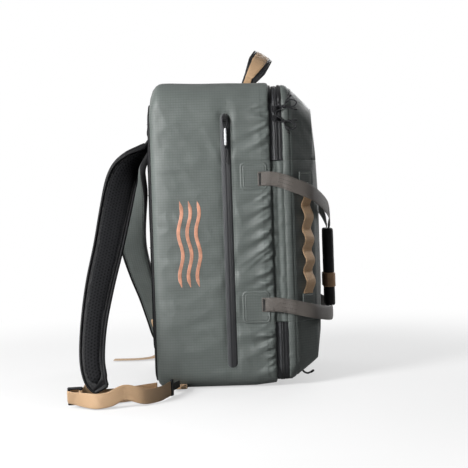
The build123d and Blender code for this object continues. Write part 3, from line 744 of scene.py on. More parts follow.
def sew(name, lines, mat, size, body):
    """Thread dashes along (points, normals) lines, as one mesh."""
    pitch, length, radius = size
    verts, faces = [], []

    def sample(values, dist, at):
        return np.stack([np.interp(at, dist, values[:, c]) for c in range(3)], -1)

    for points, normals in lines:
        points = np.asarray(points, float)
        normals = np.broadcast_to(np.asarray(normals, float), points.shape)
        dist = run_length(points)
        count = int(dist[-1] // pitch)
        start = (dist[-1] - count * pitch) / 2 + (pitch - length) / 2
        for k in range(count):
            at = start + k * pitch + length * np.array([0, 0.2, 0.8, 1])
            normal = unit(sample(normals, dist, at))
            rise = 0.1 + np.array([-0.35, 0.12, 0.12, -0.35]) * radius
            centre = sample(points, dist, at) + normal * rise[:, None]
            across = unit(np.cross(unit(centre[-1] - centre[0]), normal[0]))
            first = len(verts)
            for i, share in enumerate((0.45, 1.0, 1.0, 0.45)):
                for j in range(5):
                    angle = 2 * math.pi * j / 5
                    direction = normal[i] * math.cos(angle) + across * math.sin(angle)
                    verts.append(centre[i] + direction * radius * share)
            faces += grid_faces(4, 5, False, True, first)
            faces += [[first + j for j in (4, 3, 2, 1, 0)], [first + 15 + j for j in range(5)]]
    fit(outward(make(name, verts, faces, mat)), body)


def bar_tack(name, centre, along, across, normal, length, width, rows, mat, body):
    """A block of close stitch rows."""
    offsets = [(k / (rows - 1) - 0.5) * width for k in range(rows)]
    lines = [(straight(np.array(centre, float) + unit(across) * offset, unit(along), length / 2),
              unit(normal)) for offset in offsets]
    sew(name, lines, mat, TACK_STITCH, body)


def coords(ob):
    flat = np.empty(len(ob.data.vertices) * 3, np.float32)
    ob.data.vertices.foreach_get("co", flat)
    return flat.reshape(-1, 3).astype(float)


def puff(ob, pressure, frames, cap, bending, tension=15.0, pin=None, shrink=0.0,
         shrink_weights=None):
    """Cloth simulation baked into the mesh. Each point moves at most cap mm."""
    base = coords(ob)
    mod = ob.modifiers.new("Cloth", "CLOTH")
    cloth = mod.settings
    cloth.quality = 5
    cloth.mass = 0.3
    cloth.tension_stiffness = cloth.compression_stiffness = tension
    cloth.shear_stiffness = 5.0
    cloth.bending_stiffness = bending
    cloth.use_pressure = True
    cloth.uniform_pressure_force = pressure
    cloth.effector_weights.gravity = 0.0
    if pin is not None:
        group = ob.vertex_groups.new(name="pin")
        for i in np.nonzero(pin > 0)[0]:
            group.add([int(i)], float(pin[i]), "REPLACE")
        cloth.vertex_group_mass = "pin"
        cloth.pin_stiffness = 1.0
    if shrink_weights is not None:
        group = ob.vertex_groups.new(name="shrink")
        for i, weight in enumerate(shrink_weights):
            group.add([i], float(weight), "REPLACE")
        cloth.vertex_group_shrink = "shrink"
        cloth.shrink_min = 0.0
        cloth.shrink_max = shrink
    mod.point_cache.frame_start = 1
    mod.point_cache.frame_end = frames
    for number in range(1, frames + 1):
        SCENE.frame_set(number)
    result = coords(ob.evaluated_get(bpy.context.evaluated_depsgraph_get()))
    move = result - base
    size = np.linalg.norm(move, axis=1, keepdims=True)
    move *= np.minimum(1.0, cap * MM / np.maximum(size, 1e-9))
    ob.modifiers.remove(mod)
    ob.vertex_groups.clear()
    SCENE.frame_set(1)
    ob.data.vertices.foreach_set("co", (base + move).astype(np.float32).ravel())
    ob.data.update()


# ------------------------------------------------------------------ wrinkles of the sides
CLOTH_Y = np.linspace(-62.0, 122.0, 62)
CLOTH_Z = np.linspace(26.0, 500.0, 148)


def gathered_cloth(side):
    """Heights of a flat panel held at its edges and given spare length near the zip band."""
    y, z = lattice(CLOTH_Y, CLOTH_Z)
    seed = 40 + side
    lift = (0.5 * noise2(y / 26.0, z / 9.0, seed) * np.exp(-(y + 62) / 50.0)
            + 0.25 * noise2(y / 30, z / 24, seed + 3))
    ob = make("gather_tmp", join(lift, y, z), grid_faces(len(CLOTH_Y), len(CLOTH_Z)), "ripstop")
    held = np.zeros(y.shape)
    held[0, :] = held[-1, :] = held[:, 0] = held[:, -1] = 1.0
    held[(np.abs(y - SIDE_ZIP_Y) < 10.0) & (z > 34) & (z < 486)] = 1.0
    for low, high in ((350.0, 394.0), (115.0, 167.0)):  # the two handle patches
        held[(y < -10) & (z > low) & (z < high)] = 1.0
    near = np.exp(-np.clip(y + 62, 0, None) / 34.0)
    middle = 0.35 * window(y, 20, 122, 20) + 0.5 * window(y, -62, 2, 10)
    puff(ob, pressure=1.2, frames=16, cap=9.0, pin=held.ravel(), shrink=-0.10,
         bending=0.25, tension=20.0,
         shrink_weights=np.clip(0.25 + near + middle * 0.3, 0, 1).ravel())
    height = coords(ob)[:, 0].reshape(y.shape) / MM
    bpy.data.objects.remove(ob)
    return height


GATHERS = {side: gathered_cloth(side) for side in (-1, 1)}


def gather(side, y, z):
    """The gathered cloth's height at any point of a side."""
    table = GATHERS[side]

    def cell(value, stations):
        share = np.clip((value - stations[0]) / (stations[-1] - stations[0]), 0, 0.99999)
        place = share * (len(stations) - 1)
        index = place.astype(int)
        return index, place - index

    i, a = cell(y, CLOTH_Y)
    j, b = cell(z, CLOTH_Z)
    low = table[i, j] * (1 - a) + table[i + 1, j] * a
    high = table[i, j + 1] * (1 - a) + table[i + 1, j + 1] * a
    return low * (1 - b) + high * b


# Large folds: height, depth, slope, reach from the front edge, width
LARGE_FOLDS = [
    (322, 2.4, -0.45, 46, 6.0), (300, 2.2, -0.62, 52, 6.5), (276, 3.0, -0.55, 48, 6.0),
    (252, 3.0, -0.70, 56, 6.5), (228, 2.0, -0.5, 40, 5.0), (206, 3.0, -0.35, 54, 6.0),
    (190, 2.2, -0.6, 40, 4.6), (92, 3.0, 0.15, 52, 6.0), (74, 2.4, -0.25, 44, 5.0),
    (58, 2.0, -0.1, 30, 4.4), (440, 1.6, -0.5, 40, 6.0), (470, 1.5, 0.3, 34, 5.0)]


def random_folds():
    """Small random folds per side, followed by the large ones."""
    rng = np.random.RandomState(7)
    folds = {}
    for side in (-1, 1):
        rows = []
        z = 24.0
        while z < 515:
            z += rng.uniform(8.0, 15.0)
            rows.append((z, rng.uniform(0.8, 2.3), rng.uniform(-0.8, 0.15),
                         rng.uniform(10, 30), rng.uniform(1.9, 3.3)))
        shift = 7 if side > 0 else 0
        folds[side] = rows + [(z + shift * math.sin(z), *rest) for z, *rest in LARGE_FOLDS]
    return folds


FOLDS = random_folds()


def fold_height(side, inward, z):
    """Folds that run back from the front edge and fade with the distance from it."""
    total = 0.0
    start = smooth01((inward + 4) / 7.0)
    for height, depth, slope, reach, width in FOLDS[side]:
        t = (z - height - slope * inward) / (width * (1 + inward / 42.0))
        fade = np.exp(-((np.clip(inward, 0, None) / reach) ** 1.5))
        total = total + depth * (bell(t) - 0.55 * bell(t - 1.5)) * fade * start
    return total


def sewn_flat(y, z):
    """1 where the side zip or a handle patch keeps the fabric flat."""
    zipped = window(y, SIDE_ZIP_Y - 11, SIDE_ZIP_Y + 11, 9) * window(z, 32, 488, 10)
    upper = window(y, -80, -8, 8) * window(z, 345, 399, 10)
    lower = window(y, -80, -6, 8) * window(z, 110, 172, 10)
    return np.clip(zipped + upper + lower, 0, 1)


def side_height(side, y, z):
    """How far the side fabric stands out from its flat place."""
    rear = window(y, 22, 124, 26) * window(z, 20, 525, 60) * 1.7
    middle = window(y, -56, 0, 20) * window(z, 20, 525, 60) * 1.3
    soft = 1.3 * noise2(y / 95.0, z / 24.0, 11 + side)
    soft = soft + 0.8 * noise2(y / 38.0 + z / 90.0, z / 13.0, 15 + side)
    soft = soft + 0.5 - np.abs(noise2(y / 22.0 - z / 60.0, z / 30.0 + y / 55.0, 19 + side))
    beside_zip = bell((np.abs(y - SIDE_ZIP_Y) - 12) / 7.0)
    zip_pull = 0.35 * noise2(y / 9.0, z / 7.0, 23 + side) * beside_zip
    height = (rear + middle + 0.9 * soft + zip_pull + fold_height(side, y + 62.0, z) * 1.75
              + gather(side, y, z) * 0.8)
    top_fade = window(z, -200, 512, 60)
    return np.clip(height * (1 - sewn_flat(y, z)) * top_fade, -0.4, 7.5) + 0.15


def handle_hold(z):
    """1 at the heights where the handle webbings cross the front edge."""
    return np.clip(window(z, 350, 384, 10) + window(z, 128, 162, 10), 0, 1)


def lip_height(y, hold):
    return (2.2 * bell((y + 60.0) / 17.0)) * (1 - hold)


def side_x(side, y, z):
    """Distance of the side fabric from the middle plane."""
    return HALF_WIDTH + lip_height(y, handle_hold(z)) + side_height(side, y, z)


def side_slab(name, side, y, z, above, below, mat, uv=None):
    """A flat piece that follows the side fabric, between two heights over it."""
    x = side_x(side, y, z)
    return slab(name, join(side * (x + above), y, z), join(side * (x - below), y, z), mat, uv)


# ------------------------------------------------------------------ body shell
# Sections: y, half width, bottom, top, top corner radius, bottom corner radius
SHELL = [
    (-64.0, 165.0, 4.0, 537.0, 42.0, 28.0), (-30.0, 165.0, 0.0, 538.5, 42.0, 28.0),
    (121.0, 165.0, 0.0, 542.8, 42.0, 28.0), (127.0, 164.8, 0.2, 542.0, 42.0, 28.0),
    (133.0, 164.0, 1.2, 538.5, 42.0, 28.0), (138.5, 162.2, 3.0, 532.0, 42.0, 28.0),
    (143.0, 158.8, 7.0, 520.0, 41.0, 28.0), (145.5, 154.0, 13.0, 505.0, 38.0, 28.0),
]
# Rolled front edge: y, height over the section
SHELL_LIP = [
    (-60.0, -5.2), (-62.4, -4.9), (-64.4, -4.0), (-65.8, -2.6), (-66.5, -1.0),
    (-66.3, 0.6), (-65.2, 1.7), (-63.2, 2.2), (-60.8, 2.3)]
SHELL_REAR_Y = (121, 124, 127, 130, 133, 136, 138.5, 141, 143, 144.6, 145.5)
WOBBLE_ROWS = 14
STITCH_ROW = 12


def body_height(loop, out, y):
    """Wrinkles of the sides and the top of the body, fading out at the back."""
    x, z = loop.T
    height = np.zeros_like(x)
    for side in (-1, 1):
        mine = np.where(x < 0, -1, 1) == side
        wrinkles = side_height(side, np.full(mine.sum(), y), z[mine])
        height[mine] = (np.abs(out[:, 0]) ** 1.5)[mine] * wrinkles
    top = window(y, -50, 120, 30) * window(x, -150, 150, 60)
    top = top + 0.8 * noise2(x / 36.0, y / 60.0, 31)
    top = top + 1.1 * noise2(x / 11.0, y / 40.0, 33) * math.exp(-max(y + 62.0, 0) / 22.0)
    under_handle = window(np.abs(x), 46, 98, 12) * window(y, -52, -10, 14)
    top_share = np.clip(out[:, 1], 0, 1) ** 1.5
    height = height + top_share * np.maximum(top * (1 - under_handle), -0.3)
    return height * smooth01((145.5 - y) / 22.0)


def shell_surface():
    """Rings of the body fabric from the rolled front edge to the middle of the back."""
    rows = list(SHELL_LIP)
    y = -58.2
    while y < 120.5:
        rows.append((y, None))
        y += 2.2 if y < -10 else 3.0
    rows += [(y, None) for y in SHELL_REAR_Y]
    front = SHELL[0][0]
    rings = []
    for y, lip in rows:
        loop, out = round_rect(*at_y(SHELL, max(y, front)))
        hold = np.abs(out[:, 0]) * handle_hold(loop[:, 1])
        below = np.clip(-out[:, 1], 0, 1)
        if lip is None:
            lift = lip_height(y, hold)
        else:
            lift = lip * (1 - hold * (lip > 0))
            lift = np.where(lift > 0, lift, lip)
        lift = lift * (1 - 0.8 * below * (lift > 0))
        near = smooth01((y + 67.5) / 6.0)
        lift = lift + body_height(loop, out, y) * near * (1 - below)
        rings.append(ring_at(loop, out, lift, y))
    surface = np.array(rings)
    # the rolled edge moves in and out along the zip band
    dist = loop_length(surface[STITCH_ROW])
    loop, out = round_rect(*at_y(SHELL, front))
    hold = np.abs(out[:, 0]) * handle_hold(loop[:, 1])
    wobble = (1 - hold) * (0.9 * noise2(dist / 9.0, 0.0, 51) + 0.5 * noise2(dist / 4.0, 0.0, 52))
    for i in range(WOBBLE_ROWS):
        surface[i, :, 1] += bell((i - 5) / 4.0) * wobble
    caps = cap_rings(surface[-1], (0.8, 0.5, 0.2, 0.001), y=145.0)
    return np.concatenate([surface, np.array(caps)])


def surface_row(surface, row, forward=0.0):
    """One ring of a surface with its outward normals, from a point forward of the front."""
    points = surface[row]
    tangent = unit(np.roll(points, -1, 0) - np.roll(points, 1, 0))
    normals = unit(np.cross(tangent, surface[row + 1] - points))
    out = unit(join(points[:, 0], -forward, points[:, 2] - 270))
    return points, normals * np.where(np.sum(normals * out, 1, keepdims=True) < 0, -1, 1)


def build_shell():
    surface = shell_surface()
    faces = [f[::-1] for f in grid_faces(*surface.shape[:2], False, True)]
    shell = solidify(face_out(make("shell_fabric", surface, faces, "ripstop")), 1.2)
    fit(shell, "pack", ["body_shell"])
    # the seam leaves out the bottom
    points, normals = surface_row(surface, STITCH_ROW)
    seam = slice(BODY_COUNTS[0] + BODY_COUNTS[1] - 6, -6)
    sew("shell_edge_stitches", [(points[seam], normals[seam])], "thread", EDGE_STITCH,
        "pack")
    # piping where the back panel meets the body
    loop, out = round_rect(153.6, 13.4, 504.2, 38.0, 28.0)
    piping = tube_piece("back_piping", ring_at(loop, out, 0.0, 146.1), 2.0, "binding",
                        sides=8, closed=True)
    fit(piping, "pack")


build_shell()

# ------------------------------------------------------------------ front lids
# Sections: y, half width, bottom, top, top corner radius, bottom corner radius
TRAY = [
    (-91.0, 163.0, 11.0, 533.0, 41.0, 27.0), (-102.0, 164.0, 15.0, 530.0, 40.0, 28.0),
    (-143.0, 130.0, 41.0, 491.0, 30.0, 26.0), (-149.5, 118.0, 85.0, 425.0, 26.0, 24.0),
    (-155.0, 80.0, 160.0, 350.0, 24.0, 22.0),
]
# Rolled rear edge of the lids: y, height over the section
TRAY_LIP = [
    (-93.6, -3.0), (-91.4, -2.8), (-89.8, -2.0), (-89.1, -0.7), (-89.5, 0.5), (-90.8, 1.3),
    (-93.0, 1.8), (-95.6, 1.9), (-98.2, 1.6), (-100.2, 0.9), (-101.6, -0.2), (-102.4, -0.9),
    (-103.2, -0.3), (-104.4, 0.4), (-106.4, 0.7)]
TRAY_FRONT_Y = (-143.0, -144.4, -146.4, -148.2, -149.5, -151.0, -152.6, -154.0, -155.0)
TRAY_CAPS = (0.9, 0.78, 0.66, 0.54, 0.42, 0.3, 0.18, 0.07, 0.001)
TRAY_DIST = loop_length(round_rect(*at_y(TRAY, -102.0))[0])
PADDING_INSET = 2.2
PADDING_GAP = 3.5  # from a lid's cut edge to its padding
# Name, body, bottom, top, replaced cover, replaced foam
LIDS = [
    ("upper_lid", "upper_lid", UPPER_CUT, None, "upper_lid_cover", "upper_lid_foam"),
    ("front_panel", "pack", LOWER_CUT, UPPER_CUT, "front_middle_panel", "front_middle_foam"),
    ("lower_lid", "lower_lid", None, LOWER_CUT, "lower_lid_cover", "lower_lid_foam"),
]
HINGES = {"upper_lid": (0.398, 0.412), "lower_lid": (0.113, 0.101)}  # start and end z, metres


def lid_waves(y):
    dist = TRAY_DIST
    height = 0.9 * noise2(dist / 60.0, y / 20.0, 61) + 0.55 * noise2(dist / 17.0, y / 14.0, 62)
    height = height + 0.5 * (0.5 - np.abs(noise2(dist / 30.0 + y / 25.0, y / 28.0, 63)))
    return height + 0.25 * noise2(dist / 7.0, y / 9.0, 64)


def lid_surface():
    """Rings of the lid fabric from the rolled rear edge to the middle of the front."""
    rows = list(TRAY_LIP)
    y = -108.6
    while y > -142:
        rows.append((y, None))
        y -= 2.1
    rows += [(y, None) for y in TRAY_FRONT_Y]
    dist = TRAY_DIST
    pucker = 0.9 * noise2(dist / 7.5, 0.3, 66) + 0.5 * noise2(dist / 3.6, 0.1, 67)
    rings = []
    for y, lip in rows:
        loop, out = round_rect(*at_y(TRAY, min(y, TRAY[0][0])))
        z = loop[:, 1]
        legs = np.clip(window(z, 318, 376, 14) + window(z, 112, 158, 14), 0, 1)
        daisy = window(z, 138, 380, 10) * window(y, -140, -110, 8)
        flat = np.clip(np.abs(out[:, 0]) * legs + np.abs(out[:, 0]) * daisy, 0, 1)
        depth = y
        if lip is None:
            share = min(max((-y - 106) / 37.0, 0), 1)
            lift = 1.1 * math.sin(math.pi * share) + lid_waves(y) * 0.85
            grooves = -0.9 * (bell((z - UPPER_CUT) / 2.2) + bell((z - LOWER_CUT) / 2.2))
            lift = lift * (1 - 0.8 * flat) + grooves * (1 - flat)
            if y < -143:
                lift = lift * 0.6
        else:
            near = bell((y + 95) / 6.0)
            lift = lip + 0.55 * near * pucker * (1 - flat) - (lip > 0.8) * 0.7 * flat
            depth = y + 0.7 * pucker * bell((y + 89.5) / 3.0)
        rings.append(ring_at(loop, out, lift, depth))
    return np.array(rings + cap_rings(rings[-1], TRAY_CAPS, y=TRAY[-1][0], amp=0.15))


def padding_surface():
    """Rings of the padding inside the lid fabric."""
    inset = PADDING_INSET
    sections = [TRAY[1]] + [(y + inset, *rest) for y, *rest in TRAY[2:]]
    front = TRAY[-1][0] + inset
    rings = []
    for y in np.linspace(-106.5, front, 26):
        half, bottom, top, top_radius, low_radius = at_y(sections, y)
        loop, out = round_rect(half - inset, bottom + inset, top - inset,
                               top_radius - inset, low_radius - inset)
        rings.append(ring_at(loop, out, 0.6 * noise2(TRAY_DIST / 22.0, y / 18.0, 71) - 0.3, y))
    return np.array(rings + cap_rings(rings[-1], TRAY_CAPS, y=front, amp=0.10))


def lid_part(name, surface, mat, low, high, thickness):
    """The part of a lid surface between two heights; None leaves that end uncut."""
    ob = make(name, surface, grid_faces(*surface.shape[:2], False, True), mat)
    if high is not None:
        cut(ob, high, keep_above=False)
    if low is not None:
        cut(ob, low, keep_above=True)
    face_out(ob, (0.0, 0.02, 0.0005 * ((low or 0) + (high or 530))))
    return solidify(ob, thickness)


def seam_runs(surface, row, low, high):
    """Stitch lines along one ring of the lids between two heights."""
    points, normals = surface_row(surface, row, forward=60)
    inside = (points[:, 2] > low) & (points[:, 2] < high)
    first = next(i for i in range(len(points)) if inside[i] and not inside[i - 1])
    order = (np.arange(len(points)) + first) % len(points)
    runs = np.split(order, np.flatnonzero(np.diff(inside[order])) + 1)
    return [(points[run], normals[run]) for run in runs if inside[run[0]] and len(run) > 3]


def build_lids():
    surface = lid_surface()
    for name, body, low, high, cover, _ in LIDS:
        # the darker lid fabric carries painted shade
        ob = lid_part(name + "_fabric", surface, "lid", low, high, 1.2)
        if name in HINGES:
            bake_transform(ob)
        else:
            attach(ob, body)
        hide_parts(cover)
    inner = padding_surface()
    for name, body, low, high, _, foam in LIDS:
        low = None if low is None else low + PADDING_GAP
        high = None if high is None else high - PADDING_GAP
        ob = lid_part(name + "_padding", inner, "lining", low, high, 3.6)
        fit(ob, body, [foam])
    for name, body, low, high, rows in (("upper_lid", "upper_lid", 414.0, 600, (14, 31)),
                                        ("front_panel", "pack", 115, 396, (14,)),
                                        ("lower_lid", "lower_lid", -10, 99, (14,))):
        lines = [run for row in rows for run in seam_runs(surface, row, low, high)]
        sew(name + "_stitches", lines, "thread", EDGE_STITCH, body)


build_lids()

# ------------------------------------------------------------------ zip band
# Closed sections of the rear half: y, height over the band
TAPE_REAR = [
    (-60.5, 0.1), (-66, 0.25), (-69.0, 0.35), (-70.2, 0.75), (-71.0, 0.42), (-73.6, 0.5),
    (-74.6, 1.05), (-76.2, 1.25), (-77.0, 1.1), (-77.35, 0.5), (-77.35, -0.9), (-74.5, -1.3),
    (-60.5, -1.3)]
GUARD_REAR = [
    (-64.6, 0.4), (-64.9, 2.0), (-66.4, 2.7), (-69.5, 2.8), (-71.4, 2.4), (-72.2, 1.4),
    (-72.2, 0.3), (-66, 0.2)]


def front_half(section):
    """Mirror a section over the middle of the band."""
    return [(2 * BAND_Y - y, height) for y, height in section]


def band_path(cut_z, above):
    """The part of the band loop above or below a height, ending exactly there."""
    loop, out = round_rect(*BAND_LOOP)
    inside = loop[:, 1] >= cut_z if above else loop[:, 1] <= cut_z
    start = next(i for i in range(len(loop)) if inside[i] and not inside[i - 1])
    index = (start + np.arange(inside.sum())) % len(loop)
    loop, out = loop[index], out[index]
    loop = np.vstack([[(loop[0, 0], cut_z)], loop, [(loop[-1, 0], cut_z)]])
    return loop, np.vstack([out[:1], out, out[-1:]])


def build_zip_tapes():
    for name, cut_z, above in (("upper", UPPER_CUT + 0.5, True), ("lower", LOWER_CUT - 0.5, False)):
        loop, out = band_path(cut_z, above)
        dist = run_length(loop)
        for part, section, body in (("body", TAPE_REAR, "pack"),
                                    ("lid", front_half(TAPE_REAR), name + "_lid")):
            y, height = np.array(section).T
            rings = ring_at(loop[:, None], out[:, None], height, y)
            ob = skin(f"{name}_zip_{part}", rings, "zip", join(y - BAND_Y, dist[:, None]))
            fit(ob, body, [f"{name}_zip_tape_{part}"])


def build_gusset(side, tag):
    """Puckered fabric strip between the zips, beside the front panel."""
    y, z = lattice(np.linspace(-61.0, -93.6, 27), np.linspace(113.4, 397.6, 120))
    ridges = (0.35 + 1.3 * bell((y + 71.0) / 4.6) + 1.1 * bell((y + 84.5) / 4.0)
              - 0.5 * bell((y + 77.6) / 1.1))
    wrinkles = (0.7 * noise2(y / 9.0, z / 13.0, 81 + side)
                + 0.45 * noise2(y / 5.0, z / 5.0, 83 + side))
    ends = smooth01((z - 112.5) / 8.0) * smooth01((398.5 - z) / 8.0)
    legs = np.clip(window(z, 348, 380, 10) + window(z, 124, 158, 10), 0, 1)
    x = BAND_X + ridges * (0.4 + 0.6 * ends) + wrinkles * ends * (1 - 0.7 * legs)
    ob = slab("gusset_" + tag, join(side * x, y, z), join(side * 158.6, y, z), "gusset")
    fit(ob, "pack", ["gusset_strips"] if side < 0 else None)


def build_zip_guard():
    """Rubber rim at the left upper corner, on both halves of the zip."""
    loop, out = round_rect(*BAND_LOOP)
    corner = (loop[:, 0] < -100) & (loop[:, 1] > 496)
    loop, out = loop[corner], out[corner]
    dist = run_length(loop)
    taper = smooth01(np.minimum(dist, dist[-1] - dist) / 7.0)[:, None]
    for name, section, body, nodes in (
            ("zip_guard_rear", GUARD_REAR, "pack", ["zip_garage"]),
            ("zip_guard_front", front_half(GUARD_REAR), "upper_lid", None)):
        y, height = np.array(section).T
        height = 0.3 + (height - 0.3) * (0.15 + 0.85 * taper)
        ob = skin(name, ring_at(loop[:, None], out[:, None], height, y), "rubber")
        fit(ob, body, nodes)


build_zip_tapes()
for side, tag in SIDES:
    build_gusset(side, tag)
build_zip_guard()

# ------------------------------------------------------------------ side zips
SIDE_ZIP_HALF = 8.5
SIDE_ZIP_BOTTOM, SIDE_ZIP_TOP = 36.0, 484.0
SIDE_SEAM_HALF = 11.3


def build_side_zip(side, tag):
    low, high = SIDE_ZIP_BOTTOM + SIDE_ZIP_HALF, SIDE_ZIP_TOP - SIDE_ZIP_HALF
    stations = np.concatenate([
        np.linspace(SIDE_ZIP_BOTTOM, low, 8, endpoint=False),
        np.linspace(low, high, 110, endpoint=False), np.linspace(high, SIDE_ZIP_TOP, 9)])
    past = np.maximum(np.maximum(low - stations, stations - high), 0.0)
    half = np.sqrt(np.maximum(SIDE_ZIP_HALF**2 - past**2, 0.3))
    share = np.sin(np.linspace(-math.pi / 2, math.pi / 2, 25))
    y = SIDE_ZIP_Y + half[:, None] * share
    z = np.broadcast_to(stations[:, None], y.shape)
    across = y - SIDE_ZIP_Y
    height = (1.15 * (1 - np.abs(share) ** 10 * 0.8) - 0.55 * bell((across - 0.2) / 0.55)
              + 0.12 * np.cos(across * 2.2))
    ob = side_slab("side_zip_" + tag, side, y, z, height, 0.5, "zip", join(across, z))
    fit(ob, "pack", ["side_zip_tapes"] if side < 0 else None)
    # seam round the tape
    turn = np.linspace(0, math.pi, 14)[1:-1]
    run = np.linspace(low, high, 100)
    ones = np.ones(100)
    y = SIDE_ZIP_Y + SIDE_SEAM_HALF * np.concatenate(
        [ones, np.cos(turn), -ones, -np.cos(turn), [1]])
    z = np.concatenate([run, high + SIDE_SEAM_HALF * np.sin(turn), run[::-1],
                        low - SIDE_SEAM_HALF * np.sin(turn), run[:1]])
    line = join(side * side_x(side, y, z), y, z)
    sew("side_zip_stitches_" + tag, [(line, (side, 0, 0))], "thread", ZIP_STITCH,
        "pack")


for side, tag in SIDES:
    build_side_zip(side, tag)

# ------------------------------------------------------------------ handle patches and print
# Name, middle y and z, half depth, half height
PATCHES = [("upper", -36.5, 372.0, 24.5, 25.0), ("lower", -34.0, 141.0, 25.0, 29.0)]


def build_patch(side, tag, name, middle_y, middle_z, half_y, half_z):
    """Sewn patch with two raised rows round its edge."""
    a, b = lattice(np.linspace(-1, 1, 66), np.linspace(-1, 1, 66))
    radius = 9.0
    # pull the square grid's corners into the rounded rectangle
    over = np.maximum(rounded_distance(a * half_y, b * half_z, half_y, half_z, radius), 0)
    y = a * half_y - np.sign(a) * over * 0.72
    z = b * half_z - np.sign(b) * over * 0.72
    dist = rounded_distance(y, z, half_y, half_z, radius)
    height = (0.85 * smooth01(-dist / 1.2) + 0.5 * bell((dist + 2.6) / 0.8)
              + 0.5 * bell((dist + 6.6) / 0.9) - 0.25 * bell((dist + 4.6) / 0.8))
    ob = side_slab(f"anchor_patch_{name}_{tag}", side, middle_y + y, middle_z + z,
                   0.1 + height, 0.4, "patch")
    first = side < 0 and name == "upper"
    fit(ob, "pack", ["handle_anchor_patches"] if first else None)


def build_print():
    """Three flowing bands on the left side."""
    bottom, pitch = 180.0, 15.5
    for k in range(3):
        z = np.linspace(bottom, 332.0, 120)
        middle = 65.0 + k * pitch + 3.4 * np.sin((z - bottom) / 152 * 2 * math.pi * 2.0)
        half = 3.1 * np.clip(np.sin((z - 179) / 154 * math.pi) * 4.0, 0.05, 1)
        y = middle[:, None] + half[:, None] * np.linspace(-1, 1, 9)
        z = np.broadcast_to(z[:, None], y.shape)
        fit(side_slab(f"print_band_{k}", -1, y, z, 0.16, 0.35, "print"), "pack")


for side, tag in SIDES:
    for patch in PATCHES:
        build_patch(side, tag, *patch)
build_print()

# ------------------------------------------------------------------ front carry handles
# Left webbing paths from the patch to the grip: x, y, z
HANDLE_PATHS = {
    "upper": [
        (-166.6, -43.5, 367), (-167.2, -51, 367), (-168.0, -58.2, 367), (-168.4, -64, 366.8),
        (-168.4, -70, 366.4), (-168.6, -86, 362), (-168.6, -106, 354), (-156, -141, 338),
        (-114, -168, 312), (-56, -177, 288), (-16, -176.8, 273.5)],
    "lower": [
        (-166.6, -43.5, 145), (-167.2, -51, 145), (-168.0, -58.2, 145), (-168.4, -64, 145),
        (-168.4, -70, 144.8), (-168.6, -86, 142.5), (-168.6, -106, 138), (-156, -141, 129),
        (-114, -168, 121), (-56, -177, 119), (-16, -176.8, 119.5)],
}
HANDLE_HALVES = [12.5] * 9 + [11.8, 5.2]
GRIP_X = 11.7
GRIP_LOW, GRIP_HIGH, GRIP_RADIUS = 124.0, 270.0, 9.8
SLEEVE_LOW, SLEEVE_HIGH = 159.0, 186.0


def build_handle_webbing(side, tag, name):
    body = "handle_" + tag
    path = catmull(np.array(HANDLE_PATHS[name]) * (-side, 1, 1), 9)
    up = np.array([0.0, 0.0, 1.0])
    ob = band_piece(f"handle_{name}_web_{tag}", path, up, catmull(HANDLE_HALVES, 9), 1.7,
                    "taupe", cup=0.35, flip=side, ripple=0.25, seed=5)
    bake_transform(ob)
    if name == "upper":
        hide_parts("handle_webbing_" + tag, *(["handle_webbing_ends"] if side < 0 else []))
    bar_tack(f"handle_{name}_tack_{tag}", (side * 167.9, -47.0, HANDLE_PATHS[name][0][2]),
             along=(0, 0, 1), across=(0, 1, 0), normal=(side, 0, 0), length=22, width=3.6,
             rows=5, mat="thread_black", body="pack")
    across, normal = frames_of(path, up)
    dist = run_length(path)
    span = (dist > 34) & (dist < 66)
    out = -side * normal[span]
    lines = [(path[span] + across[span] * offset + out * 0.85, out)
             for offset in (-9.6, -3.2, 3.2, 9.6)]
    sew(f"handle_{name}_stitches_{tag}", lines, "thread_black", HANDLE_STITCH,
        body)


def build_grip(side, tag):
    body = "handle_" + tag
    middle = side * GRIP_X

    def around(radius, angle, z):
        return join(middle + radius * np.cos(angle), GRIP_Y + radius * np.sin(angle), z)

    # foam tube with rounded ends and a groove at each end of the sleeve
    z = np.concatenate([[124.0, 124.4, 125.4, 127.0, 129.2], np.linspace(132, 262, 56),
                        [264.8, 267.0, 268.6, 269.6, 270.0]])
    radius = GRIP_RADIUS * np.interp(np.minimum(z - GRIP_LOW, GRIP_HIGH - z),
                                     [0, 0.4, 1.4, 3.0, 5.2], [0.70, 0.82, 0.92, 0.98, 1.0])
    radius = (radius + 0.18 * noise2(z / 7.0, 0.0, 91) - 0.35 * bell((z - 160.5) / 2.0)
              - 0.35 * bell((z - 184.5) / 2.0))
    ob = tube_piece("handle_grip_foam_" + tag, join(middle, GRIP_Y, z), radius, "eva", sides=28)
    fit(ob, body, ["handle_grip_" + tag])
    # tan sleeve
    z = np.concatenate([[159.0, 159.4, 160.4], np.linspace(162, 183, 14), [184.6, 185.6, 186.0]])
    rise = np.interp(np.minimum(z - SLEEVE_LOW, SLEEVE_HIGH - z),
                     [0, 0.4, 1.4, 3], [0.2, 1.1, 1.7, 1.75])[:, None]
    z = z[:, None]
    angle = np.linspace(0, 2 * math.pi, 40, endpoint=False)
    outer = around(9.75 + rise + 0.12 * noise2(z / 5.0, angle * 3.0, 93), angle, z)
    inner = around(9.78, angle, z)
    ob = skin("grip_sleeve_" + tag, np.concatenate([outer, inner[::-1]]), "leather", closed=True)
    fit(ob, body, ["grip_wrap_" + tag])
    angle = np.linspace(0, 2 * math.pi, 60)
    out = join(np.cos(angle), np.sin(angle), 0.0)
    lines = [(around(11.55, angle, z), out) for z in (161.4, 183.6)]
    sew("grip_sleeve_stitches_" + tag, lines, "thread_tan", SLEEVE_STITCH, body)
    # brown flap over the sleeve
    angle = np.linspace(math.radians(20), math.radians(95), 12)
    if side < 0:
        angle = math.pi - angle
    angle, z = lattice(angle, np.linspace(160.5, 184.5, 8))
    ob = slab("grip_flap_" + tag, around(12.3, angle, z), around(11.3, angle, z), "leather_dark")
    fit(ob, body)


